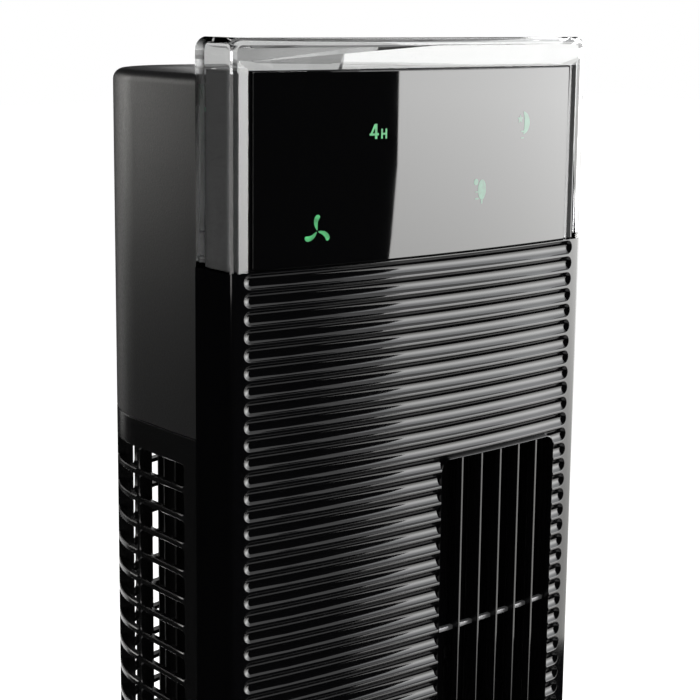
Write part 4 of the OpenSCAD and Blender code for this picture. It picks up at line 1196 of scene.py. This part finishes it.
def cover_outline(inset, drop=0.0, arcs=8):
    """Outline of the clear cover in x and z: straight below, round at its top corners."""
    s = sizes()
    r = max(0.3, s.cover_r - inset)
    x, z = s.half_width - inset, s.height - inset
    xs = [-x + 2 * x * k / SPANS for k in range(SPANS + 1)]
    pts = [(q, s.panel_top - drop) for q in xs]
    for k in range(arcs + 1):
        a = math.pi / 2 * k / arcs
        pts.append((x - r + r * math.cos(a), z - r + r * math.sin(a)))
    top = [x - r - 2 * (x - r) * k / SPANS for k in range(1, SPANS)]
    pts += [(q, z) for q in top]
    for k in range(arcs + 1):
        a = math.pi / 2 + math.pi / 2 * k / arcs
        pts.append((-x + r + r * math.cos(a), z - r + r * math.sin(a)))
    return pts


def window_outline(half, top, foot):
    """Outline of the display opening: a plain rectangle with points along its long edges."""
    xs = [-half + 2 * half * k / SPANS for k in range(SPANS + 1)]
    return [(x, foot) for x in xs] + [(x, top) for x in reversed(xs)]


def curved_ring(outline, depth):
    """An outline in x and z laid on the curved front, set back by a depth."""
    w = sizes().half_width
    return [(x, front_point(max(-w, min(w, x)))[1] + depth, z) for x, z in outline]


def build_clear_cover():
    """Clear cover: a rimmed box with a chamfered window for the display."""
    s = sizes()
    paint = FINISH["clear"]
    back = s.joint_y - 0.08
    r = s.cover_edge
    rings = [curved_ring(cover_outline(r - r * math.sin(math.radians(a))), r - r * math.cos(math.radians(a)))
             for a in range(0, 91, 9)]
    rings += [upright(cover_outline(0.0), back - 0.4), upright(cover_outline(0.4), back)]
    ob = tidy_mesh(loft("cover", rings, paint), merge=0)
    hollow = cover_outline(s.cover_wall, 6)
    cavity = [curved_ring(hollow, 3.0), upright(hollow, back - 3.5)]
    half, top = s.half_width - s.rim, s.display_top
    window = [curved_ring(window_outline(half + 5.3, top + 4.0, s.panel_top - 6), -0.3),
              curved_ring(window_outline(half + 0.15, top + 0.1, s.panel_top - 6), 1.25),
              curved_ring(window_outline(half, top, s.panel_top - 6), 1.45),
              curved_ring(window_outline(half, top, s.panel_top - 6), 4.2)]
    rear = [upright(window_outline(half, top + 0.25, s.panel_top - 6), y) for y in (back - 6, back + 3)]
    ob = cut(ob, *[tidy_mesh(loft("tool", r, None), merge=0) for r in (cavity, window, rear)])
    ob.name = "clear_frame"
    even_normals(ob, 12)
    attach(ob, "tower")
    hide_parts("clear_cover")


def curved_plate(name, half, z1, z2, d1, d2, bevel, corner, material, columns=28):
    """A plate parallel to the front, with a bevelled edge and round corners."""
    def outline(inset):
        r = max(0.05, corner - inset)
        x, a, b = half - inset, z1 + inset, z2 - inset
        cols = []
        for k in range(4):
            t = math.pi / 2 * k / 3
            cols.append((-x + r - r * math.cos(t), r - r * math.sin(t)))
        cols += [(-x + r + 2 * (x - r) * k / columns, 0.0) for k in range(1, columns)]
        for k in range(4):
            t = math.pi / 2 * (3 - k) / 3
            cols.append((x - r + r * math.cos(t), r - r * math.sin(t)))
        return [(q, a + c) for q, c in cols], [(q, b - c) for q, c in cols]
    layers = [(bevel, d1), (bevel * 0.3, d1 + bevel * 0.3), (0.0, d1 + bevel), (0.0, d2)]
    verts, faces = [], []
    for inset, deep in layers:
        low, high = outline(inset)
        verts += [(*front_point(x, deep), z) for x, z in low] + [(*front_point(x, deep), z) for x, z in high]
    n = columns + 7
    for layer in (0, len(layers) - 1):
        o = layer * 2 * n
        faces += [(o + i, o + i + 1, o + n + i + 1, o + n + i) for i in range(n - 1)]
    for k in range(len(layers) - 1):
        a, b = k * 2 * n, (k + 1) * 2 * n
        for off in (0, n):
            faces += [(a + off + i, a + off + i + 1, b + off + i + 1, b + off + i) for i in range(n - 1)]
        for i in (0, n - 1):
            faces.append((a + i, a + n + i, b + n + i, b + i))
    return tidy_mesh(new_object(name, verts, faces, material), 12)


def flat_symbol(name, shapes, material, depth=0.955, thick=0.035):
    """Thin raised shapes on the display: each a closed outline of (x, z)."""
    verts, faces = [], []
    for pts in shapes:
        o, n = len(verts), len(pts)
        for deep in (depth, depth + thick):
            verts += [(*front_point(x, deep), z) for x, z in pts]
        faces.append(tuple(range(o, o + n)))
        faces.append(tuple(range(o + n, o + 2 * n)))
        faces += [(o + i, o + (i + 1) % n, o + n + (i + 1) % n, o + n + i) for i in range(n)]
    return tidy_mesh(new_object(name, verts, faces, material), 20, 0)


def build_display():
    """Smoked display panel and its lit symbols."""
    s = sizes()
    top = s.panel_top
    plate = curved_plate("display_glass", s.half_width - s.rim - 1.4, top + 0.25, s.display_top - 0.4,
                         1.0, 3.0, 0.35, 0.8, FINISH["display_black"])
    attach(plate, "tower")
    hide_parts("display_panel")
    # hours: 4H
    x0, z0 = -26.5, top + 41.5
    four = [[(x0 + 2.2, z0), (x0 + 3.15, z0), (x0 + 3.15, z0 + 5.0), (x0 + 2.2, z0 + 5.0)],
            [(x0, z0 + 1.15), (x0 + 3.8, z0 + 1.15), (x0 + 3.8, z0 + 1.9), (x0, z0 + 1.9)],
            [(x0, z0 + 1.2), (x0 + 0.9, z0 + 1.4), (x0 + 2.9, z0 + 5.0), (x0 + 2.0, z0 + 5.0)]]
    hx = x0 + 4.8
    letter = [[(hx, z0), (hx + 0.7, z0), (hx + 0.7, z0 + 3.3), (hx, z0 + 3.3)],
              [(hx + 1.8, z0), (hx + 2.5, z0), (hx + 2.5, z0 + 3.3), (hx + 1.8, z0 + 3.3)],
              [(hx + 0.6, z0 + 1.3), (hx + 1.9, z0 + 1.3), (hx + 1.9, z0 + 1.95), (hx + 0.6, z0 + 1.95)]]
    # fan: three sickle blades
    blade = [(-0.25, 0.35), (-0.9, 1.3), (-1.4, 2.6), (-1.45, 3.9), (-1.1, 5.0),
             (-0.5, 5.7), (0.3, 5.85), (0.9, 5.55), (1.1, 5.0), (0.75, 4.4),
             (0.35, 3.7), (0.1, 2.9), (0.05, 2.0), (0.1, 1.1), (0.05, 0.4)]
    cx, cz = -47.2, top + 11.95
    blades = []
    for turn in (0, 120, 240):
        co, si = math.cos(math.radians(turn)), math.sin(math.radians(turn))
        blades.append([(cx + 0.94 * (x * co - z * si), cz + 0.94 * (x * si + z * co)) for x, z in blade])
    lit = flat_symbol("lit_symbols", four + letter + blades, FINISH["symbol_lit"])
    # sleep: a crescent, a star and two ticks
    mx, mz = 45.7, top + 44.5
    moon = oval(mx, mz, 3.65, 4.1, range(-84, 85, 12)) + oval(mx, mz, 0.9, 3.6, range(72, -73, -12))
    star = []
    for k in range(10):
        r = 1.6 if k % 2 == 0 else 0.8
        a = math.radians(90 + 36 * k)
        star.append((mx - 1.4 + r * math.cos(a), mz + 1.4 + r * math.sin(a)))
    ticks = [(mx - 0.9, mz - 3.3, 1.6), (mx - 0.9, mz - 5.6, 1.6)]
    # natural wind: a tree, a leaf and two gusts beside it
    tx, tz = 25.2, top + 21.8
    crown = oval(tx, tz, 2.0, 3.6, range(0, 360, 20))
    trunk = [(tx - 0.4, tz - 5.0), (tx + 0.4, tz - 5.0), (tx + 0.4, tz - 3.4), (tx - 0.4, tz - 3.4)]
    leaf = arc(tx - 3.0, tz + 2.8, 1.15, 0, 330, 11)
    ticks += [(tx - 3.3, tz - 1.0, 1.8), (tx - 3.3, tz - 3.4, 1.8)]
    bars = [[(x, z), (x + w, z), (x + w, z + 0.5), (x, z + 0.5)] for x, z, w in ticks]
    pale = flat_symbol("pale_symbols", [moon, star, crown, trunk, leaf] + bars, FINISH["symbol_pale"])
    for ob in (lit, pale):
        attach(ob, "tower")


def ribbon(points, width, z, thick, close=False):
    """Outline of a thin stroke along points in the plane."""
    n = len(points)
    left, right = [], []
    for i, p in enumerate(points):
        a = points[i - 1] if i or close else p
        b = points[(i + 1) % n] if i < n - 1 or close else p
        d = Vector((b[0] - a[0], b[1] - a[1])).normalized()
        left.append((p[0] - d.y * width / 2, p[1] + d.x * width / 2))
        right.append((p[0] + d.y * width / 2, p[1] - d.x * width / 2))
    verts = at_height(left + right, z) + at_height(left + right, z + thick)
    faces = []
    for i in range(n if close else n - 1):
        j = (i + 1) % n
        faces += [(i, j, n + j, n + i), (2 * n + i, 2 * n + j, 3 * n + j, 3 * n + i),
                  (i, j, 2 * n + j, 2 * n + i), (n + i, n + j, 3 * n + j, 3 * n + i)]
    if not close:
        for i in (0, n - 1):
            faces.append((i, n + i, 3 * n + i, 2 * n + i))
    return verts, faces


def key_mark(name, x, top):
    """A small generic symbol for one key, as strokes."""
    y, w, t = TRAY_Y, 0.55, 0.06
    z = top - 0.26

    def shift(pts):
        return [(x + px, y + py) for px, py in pts]
    strokes = {
        "power": [(arc(0, -0.2, 2.3, 125, 415, 20), False), ([(0, 0.4), (0, 3.0)], False)],
        "speed": [([(math.cos(a + k / 5) * (1 + k / 2), math.sin(a + k / 5) * (1 + k / 2))
                    for k in range(5)], False) for a in (0.3, 2.4, 4.5)],
        "mode": [([(-2.6 + k * 0.52, dy + 0.55 * math.sin(k * 1.25)) for k in range(11)], False)
                 for dy in (-1.3, 0.0, 1.3)],
        "timer": [(arc(0, 0, 2.6, 0, 342, 19), True), ([(0, 1.5), (0, 0), (1.2, -0.7)], False)],
        "swing": [(arc(0, -2.0, 3.4, 35, 145, 12), False), ([(-1.6, 1.6), (-2.9, -0.1), (-0.9, -0.4)], False),
                  ([(1.6, 1.6), (2.9, -0.1), (0.9, -0.4)], False)],
    }[name]
    parts = [tidy_mesh(new_object("stroke", *ribbon(shift(p), w, z, t, c), FINISH["key_mark"]), 30, 0)
             for p, c in strokes]
    return join("mark_" + name, parts)


def build_keys():
    """Five push keys with dished tops and small symbols."""
    s = sizes()
    tray = s.housing_top - 2.5
    top, flange = tray + 0.9, tray - 3.5
    for name, x in KEY_X.items():
        # dished top, rounded edge, skirt, flange and stem
        profile = [(0.0, top - 0.3), (2.5, top - 0.28), (4.6, top - 0.16), (6.0, top - 0.03),
                   (6.45, top), (6.8, top - 0.1), (7.0, top - 0.4), (7.0, flange + 1.3),
                   (7.0, flange + 1.2), (8.1, flange + 1.2), (8.2, flange + 1.1), (8.2, flange),
                   (2.0, flange), (2.0, flange - 2.8), (1.8, flange - 3.0), (0.0, flange - 3.0)]
        cap = lathe("cap_" + name, profile, FINISH["key"], (x, TRAY_Y), 56, 35)
        mark = key_mark(name, x, top)
        for ob, slot in ((cap, "key"), (mark, "key")):
            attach(ob, "key_" + name)
        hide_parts("key_" + name)


def build_base():
    """Gloss base with the neck's collar, and rubber feet."""
    s = sizes()
    r = s.base_r
    # from the bore over the neck's collar and the dish to the rim, then back underneath
    outer = [(13.05, 30.0), (54.6, 30.0), (55.6, 29.6), (56.0, 28.8), (56.0, 26.6), (56.6, 25.5),
             (58.4, 24.8)]
    for k in range(1, 12):
        t = k / 12
        outer.append((58.4 + (r - 9 - 58.4) * t, 24.8 - 8.4 * t - 1.0 * math.sin(math.pi * t)))
    outer += [(r - 6.0, 15.6), (r - 3.0, 14.3), (r - 1.0, 12.6), (r - 0.15, 10.4), (r - 0.1, 8.0),
              (r - 0.1, 3.6), (r - 0.5, 3.02), (r - 2.5, 3.02), (r - 2.5, 10.0), (r - 6.0, 13.2),
              (r - 40, 16.2), (53.5, 22.2), (53.5, 27.0), (13.05, 27.0)]
    ob = lathe("base_dish", outer, FINISH["gloss_black"], (0, 0), 160, 30)
    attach(ob, "base")
    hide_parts("base_shell")
    foot = lathe("foot", [(0, 0.5), (2.0, 0.5), (6.6, 0.5), (7.0, 0.0), (8.3, 0.0), (8.8, 0.35), (9.0, 1.0),
                          (9.0, 4.15), (0, 4.15)], FINISH["rubber"], (0, 0), 36, 35)
    feet = grow(foot, circle_tree(), Count=6, Radius=0.133, Turn=0.0, Material=FINISH["rubber"])
    feet.name = "rubber_feet"
    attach(feet, "base")
    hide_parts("feet")


# inner parts seen between the fins and slots: rough, with almost no sheen, and painted near-black, darker
# than their own dark plastic, as painted shade for the shade deep inside the tower
DULL_AND_SHADED = ("display_carrier", "impeller", "scroll_wall", "tongue")


def paint_cad():
    """Gives every CAD node the finish of its slot, but the inner parts a near-black one that is partly
    painted shade.
    """
    slots = {p["node"]: p["material_slot"] for p in frame["record"]["subparts"]}
    for name, ob in NODES.items():
        mats = ob.data.materials
        paint = FINISH["carrier_black" if name in DULL_AND_SHADED else slots[name]]
        if len(mats) == 0:
            mats.append(paint)
        for i in range(len(mats)):
            mats[i] = paint
        for sl in ob.material_slots:
            sl.material = paint


# ---------------------------------------------------------------- stage

def ray_mix(tree, lit, seen):
    """What camera, glossy and transmission rays see differs from what lights the object."""
    path = tree.nodes.new("ShaderNodeLightPath")
    total = path.outputs["Is Camera Ray"]
    for label in ("Is Glossy Ray", "Is Transmission Ray"):
        add = tree.nodes.new("ShaderNodeMath")
        add.operation = "MAXIMUM"
        tree.links.new(total, add.inputs[0])
        tree.links.new(path.outputs[label], add.inputs[1])
        total = add.outputs[0]
    mix = tree.nodes.new("ShaderNodeMixShader")
    tree.links.new(total, mix.inputs[0])
    tree.links.new(lit, mix.inputs[1])
    tree.links.new(seen, mix.inputs[2])
    return mix.outputs[0]


def plane_object(name, corners, material):
    ob = new_object(name, corners, [(0, 1, 2, 3)], material, 1.0)
    return ob


def emit(name, strength, tint=(1, 1, 1)):
    m = bpy.data.materials.new(name)
    m.use_nodes = True
    t = m.node_tree
    t.nodes.clear()
    e = t.nodes.new("ShaderNodeEmission")
    e.inputs["Color"].default_value = (*tint, 1)
    e.inputs["Strength"].default_value = strength
    o = t.nodes.new("ShaderNodeOutputMaterial")
    t.links.new(e.outputs[0], o.inputs["Surface"])
    return m


def polar(azimuth, distance, z):
    """A place given by its azimuth from the front, in degrees, its distance and its height."""
    a = math.radians(azimuth)
    return (distance * math.sin(a), -distance * math.cos(a), z)


def only_reflected(ob):
    """Leaves a card to be seen in glossy reflections alone."""
    ob.visible_camera = False
    ob.visible_diffuse = False
    ob.visible_transmission = False
    ob.visible_shadow = False
    ob.visible_volume_scatter = False


def curved_card(name, a1, a2, distance, z1, z2, material, steps=24):
    """An upright card bent round the fan's axis between two azimuths."""
    verts, faces = [], []
    for k in range(steps + 1):
        a = a1 + (a2 - a1) * k / steps
        verts += [polar(a, distance, z1), polar(a, distance, z2)]
    faces = [(2 * k, 2 * k + 2, 2 * k + 3, 2 * k + 1) for k in range(steps)]
    ob = new_object(name, verts, faces, material, 1.0)
    only_reflected(ob)
    return ob


def sector_card(name, a1, a2, r1, r2, z, material, steps=24):
    """A level card between two azimuths and two distances."""
    verts = []
    for k in range(steps + 1):
        a = a1 + (a2 - a1) * k / steps
        verts += [polar(a, r1, z), polar(a, r2, z)]
    faces = [(2 * k, 2 * k + 1, 2 * k + 3, 2 * k + 2) for k in range(steps)]
    ob = new_object(name, verts, faces, material, 1.0)
    only_reflected(ob)
    return ob


def graded(name, levels, tints):
    """Emission that changes with height: ((height, strength), ...) and the tints of its two ends."""
    m = emit(name, 1.0)
    t = m.node_tree
    e = next(n for n in t.nodes if n.type == "EMISSION")
    coord, split = t.nodes.new("ShaderNodeTexCoord"), t.nodes.new("ShaderNodeSeparateXYZ")
    t.links.new(coord.outputs["Object"], split.inputs[0])
    low, high = levels[0][0], levels[-1][0]
    place = t.nodes.new("ShaderNodeMapRange")
    place.inputs["From Min"].default_value = low
    place.inputs["From Max"].default_value = high
    t.links.new(split.outputs["Z"], place.inputs["Value"])
    ramp, top = t.nodes.new("ShaderNodeValToRGB"), max(v for _, v in levels)
    stops = ramp.color_ramp.elements
    for z, v in levels[1:-1]:
        stops.new((z - low) / (high - low))
    for k, (z, v) in enumerate(levels):
        u = (z - low) / (high - low)
        stops[k].position = u
        stops[k].color = [v / top * (a + (b - a) * u) for a, b in zip(*tints)] + [1.0]
    t.links.new(place.outputs[0], ramp.inputs[0])
    t.links.new(ramp.outputs[0], e.inputs["Color"])
    e.inputs["Strength"].default_value = top
    return m


# distances and heights of the light and dark cards round the fan, in metres
CARD_NEAR, CARD_FAR = 2.3, 2.4
CARD_FOOT, CARD_HEAD = -0.3, 4.5
CARD_LOW = 0.02
SOFTBOX_TOP = 1.90


def softbox(name, material):
    """Tall soft light at the right, upright and bent round the fan; its left edge moves right as it rises."""
    right, distance = 95, 1.3
    # height and azimuth of points on its left edge
    edge = [(0.10, 30.5), (0.39, 32.2), (0.666, 34.3), (0.727, 35.3), (0.784, 35.5), (1.12, 35.5),
            (1.72, 39.0), (2.8, 45.0)]
    verts, faces, nu, nv = [], [], 18, 24
    for i in range(nu + 1):
        u = i / nu
        low = 0.10 + 0.14 * min(1, u * 3)
        for k in range(nv + 1):
            z = low + (SOFTBOX_TOP - low) * k / nv
            left = next(a1 + (a2 - a1) * max(0.0, z - z1) / (z2 - z1)
                        for (z1, a1), (z2, a2) in zip(edge, edge[1:]) if z <= z2)
            verts.append(polar(left + (right - left) * u, distance, z))
    faces = [(i * (nv + 1) + k, (i + 1) * (nv + 1) + k, (i + 1) * (nv + 1) + k + 1, i * (nv + 1) + k + 1)
             for i in range(nu) for k in range(nv)]
    ob = new_object(name, verts, faces, material, 1.0)
    only_reflected(ob)
    return ob


def area_lamp(name, place, target, size, power):
    light = bpy.data.lights.new(name, "AREA")
    light.shape = "RECTANGLE"
    light.size, light.size_y = size
    light.energy = power
    ob = bpy.data.objects.new(name, light)
    bpy.context.scene.collection.objects.link(ob)
    ob.location = place
    ob.rotation_euler = (Vector(target) - Vector(place)).to_track_quat("-Z", "Y").to_euler()
    return ob


def build_stage():
    """Camera, pale floor, white surroundings, soft lamps and dark flags."""
    scene = bpy.context.scene
    st = scene.fan_stage
    cam_data = bpy.data.cameras.new("Camera")
    cam_data.lens, cam_data.sensor_width = st.lens, 36.0
    cam_data.shift_y = st.shift_y
    cam_data.clip_start, cam_data.clip_end = 0.02, 60
    cam = bpy.data.objects.new("Camera", cam_data)
    scene.collection.objects.link(cam)
    yaw, pitch = math.radians(st.yaw), math.radians(st.pitch)
    look = Vector((math.sin(yaw) * math.cos(pitch), math.cos(yaw) * math.cos(pitch), -math.sin(pitch)))
    cam.location = st.camera
    turn = look.to_track_quat("-Z", "Y")
    cam.rotation_mode = "QUATERNION"
    cam.rotation_quaternion = Quaternion(look, math.radians(-st.roll)) @ turn
    scene.camera = cam

    scene.view_settings.view_transform = "Standard"

    world = bpy.data.worlds.new("Studio")
    scene.world = world
    world.use_nodes = True
    t = world.node_tree
    t.nodes.clear()
    lit, seen = t.nodes.new("ShaderNodeBackground"), t.nodes.new("ShaderNodeBackground")
    for n, strength in ((lit, 0.45), (seen, 1.0)):
        n.inputs["Color"].default_value = (1, 1, 1, 1)
        n.inputs["Strength"].default_value = strength
    out = t.nodes.new("ShaderNodeOutputWorld")
    t.links.new(ray_mix(t, lit.outputs[0], seen.outputs[0]), out.inputs["Surface"])

    floor = bpy.data.materials.new("pale_floor")
    floor.use_nodes = True
    t = floor.node_tree
    t.nodes.clear()
    plain = t.nodes.new("ShaderNodeBsdfDiffuse")
    plain.inputs["Color"].default_value = (*colours().floor, 1)
    glow = t.nodes.new("ShaderNodeEmission")
    glow.inputs["Strength"].default_value = 0.66
    both = t.nodes.new("ShaderNodeAddShader")
    t.links.new(plain.outputs[0], both.inputs[0])
    t.links.new(glow.outputs[0], both.inputs[1])
    out = t.nodes.new("ShaderNodeOutputMaterial")
    t.links.new(ray_mix(t, plain.outputs[0], both.outputs[0]), out.inputs["Surface"])
    far, low = 14, -0.0005
    plane_object("floor", [(-far, -far, low), (far, -far, low), (far, far, low), (-far, far, low)], floor)

    # dark flags keep the gloss black; the grey veils are seen only through the clear cover
    dark = emit("flag_black", 0.0)
    curved_card("flag_left", -172, 37.2, CARD_FAR, CARD_FOOT, CARD_HEAD, dark)
    for name, a1, a2, strength in (("veil", -172, 37.2, 0.45), ("veil_back", 37.2, 188, 0.52)):
        veil = curved_card(name, a1, a2, CARD_NEAR, CARD_FOOT, CARD_HEAD, emit(name, strength))
        veil.visible_glossy, veil.visible_transmission = False, True
    curved_card("flag_behind", -212, -172, CARD_FAR, CARD_FOOT, CARD_HEAD, dark)
    curved_card("flag_back", 100, 262, CARD_FAR, 2.1, CARD_HEAD, dark)
    sector_card("flag_low", -170, 108, 0.80, 2.6, CARD_LOW, dark)
    sector_card("flag_foot", -170, 110, 0.16, 0.40, CARD_LOW, dark)
    sector_card("floor_dim", -170, 108, 0.40, 0.80, CARD_LOW, emit("dim", 0.5))
    sector_card("floor_right", 108, 165, 0.45, 1.6, CARD_LOW, emit("floor_card", 3.0))
    # soft lights, seen in reflections alone: height and strength for the tall one
    levels = ((0.1, 2.4), (0.3, 2.6), (0.42, 2.9), (0.52, 3.9), (0.6, 5.0), (0.7, 6.3),
              (0.85, 8.0), (0.98, 8.2), (1.2, 6.2), (1.42, 3.9), (1.6, 3.2), (1.88, 3.0))
    softbox("soft_right", graded("soft_white", levels, ((1.0, 0.985, 0.955), (0.96, 0.98, 1.0))))
    for name, a1, a2, z1, z2, strength, tint in (
            ("soft_rear_left", -164, -154, 0.75, 1.8, 6.2, (1.0, 0.985, 0.95)),
            ("soft_corner", -182, -169, 0.25, 1.8, 0.8, (1.0, 0.99, 0.97)),
            ("soft_left", -80, -40, 0.48, 2.3, 2.6, (1.0, 0.97, 0.96))):
        curved_card(name, a1, a2, CARD_NEAR, z1, z2, emit(name, strength, tint))
    sector_card("flag_top", -170, 190, 0.0, 2.5, 4.4, dark)

    # lamps that light the object itself
    for lamp in (area_lamp("lamp_right", polar(58, 2.2, 1.35), (0, 0, 0.8), (1.7, 2.2), 48),
                 area_lamp("lamp_top", (0.3, -0.4, 2.8), (0, 0, 0.6), (1.6, 1.6), 30)):
        lamp.visible_glossy = False
        lamp.visible_transmission = False


# ---------------------------------------------------------------- operators and panel

class FAN_OT_finishes(bpy.types.Operator):
    """Makes every finish and paints the CAD nodes with them"""
    bl_idname = "fan.finishes"
    bl_label = "Finishes"

    def execute(self, context):
        FINISH.update(make_finishes())
        paint_cad()
        return {"FINISHED"}


class FAN_OT_front(bpy.types.Operator):
    """Builds the fluted front panel with its outlet"""
    bl_idname = "fan.front"
    bl_label = "Front panel"

    def execute(self, context):
        build_front_panel()
        return {"FINISHED"}


class FAN_OT_outlet(bpy.types.Operator):
    """Builds the fins and bars of the air outlet"""
    bl_idname = "fan.outlet"
    bl_label = "Outlet grille"

    def execute(self, context):
        build_outlet_grille()
        return {"FINISHED"}


class FAN_OT_rear(bpy.types.Operator):
    """Builds the slotted rear shell and the matt upper shell"""
    bl_idname = "fan.rear"
    bl_label = "Rear shells"

    def execute(self, context):
        build_rear_grille()
        build_rear_housing()
        return {"FINISHED"}


class FAN_OT_cover(bpy.types.Operator):
    """Builds the clear cover round the display"""
    bl_idname = "fan.cover"
    bl_label = "Clear cover"

    def execute(self, context):
        build_clear_cover()
        return {"FINISHED"}


class FAN_OT_display(bpy.types.Operator):
    """Builds the display panel and its lit symbols"""
    bl_idname = "fan.display"
    bl_label = "Display"

    def execute(self, context):
        build_display()
        return {"FINISHED"}


class FAN_OT_keys(bpy.types.Operator):
    """Builds the push keys on top"""
    bl_idname = "fan.keys"
    bl_label = "Keys"

    def execute(self, context):
        build_keys()
        return {"FINISHED"}


class FAN_OT_base(bpy.types.Operator):
    """Builds the base and its feet"""
    bl_idname = "fan.base"
    bl_label = "Base"

    def execute(self, context):
        build_base()
        return {"FINISHED"}


class FAN_OT_stage(bpy.types.Operator):
    """Sets up the camera, the floor and the studio light"""
    bl_idname = "fan.stage"
    bl_label = "Stage"

    def execute(self, context):
        build_stage()
        return {"FINISHED"}


OPERATORS = (FAN_OT_stage, FAN_OT_finishes, FAN_OT_front, FAN_OT_outlet, FAN_OT_rear, FAN_OT_cover,
             FAN_OT_display, FAN_OT_keys, FAN_OT_base)


class FAN_PT_panel(bpy.types.Panel):
    """Lists the fan's pieces and settings"""
    bl_idname = "FAN_PT_panel"
    bl_label = "Tower fan"
    bl_space_type = "VIEW_3D"
    bl_region_type = "UI"
    bl_category = "Fan"

    def draw(self, context):
        for group in (context.scene.fan_sizes, context.scene.fan_colours, context.scene.fan_stage):
            box = self.layout.box()
            for name in group.__annotations__:
                box.prop(group, name)
        for op in OPERATORS:
            self.layout.operator(op.bl_idname)


CLASSES = (FanSizes, FanColours, StageSettings) + OPERATORS + (FAN_PT_panel,)


def register():
    for c in CLASSES:
        bpy.utils.register_class(c)
    bpy.types.Scene.fan_sizes = bpy.props.PointerProperty(type=FanSizes)
    bpy.types.Scene.fan_colours = bpy.props.PointerProperty(type=FanColours)
    bpy.types.Scene.fan_stage = bpy.props.PointerProperty(type=StageSettings)


def unregister():
    for name in ("fan_sizes", "fan_colours", "fan_stage"):
        delattr(bpy.types.Scene, name)
    for c in reversed(CLASSES):
        bpy.utils.unregister_class(c)


def main():
    register()
    for op in OPERATORS:
        group, name = op.bl_idname.split(".")
        getattr(getattr(bpy.ops, group), name)()


if __name__ == "__main__":
    main()
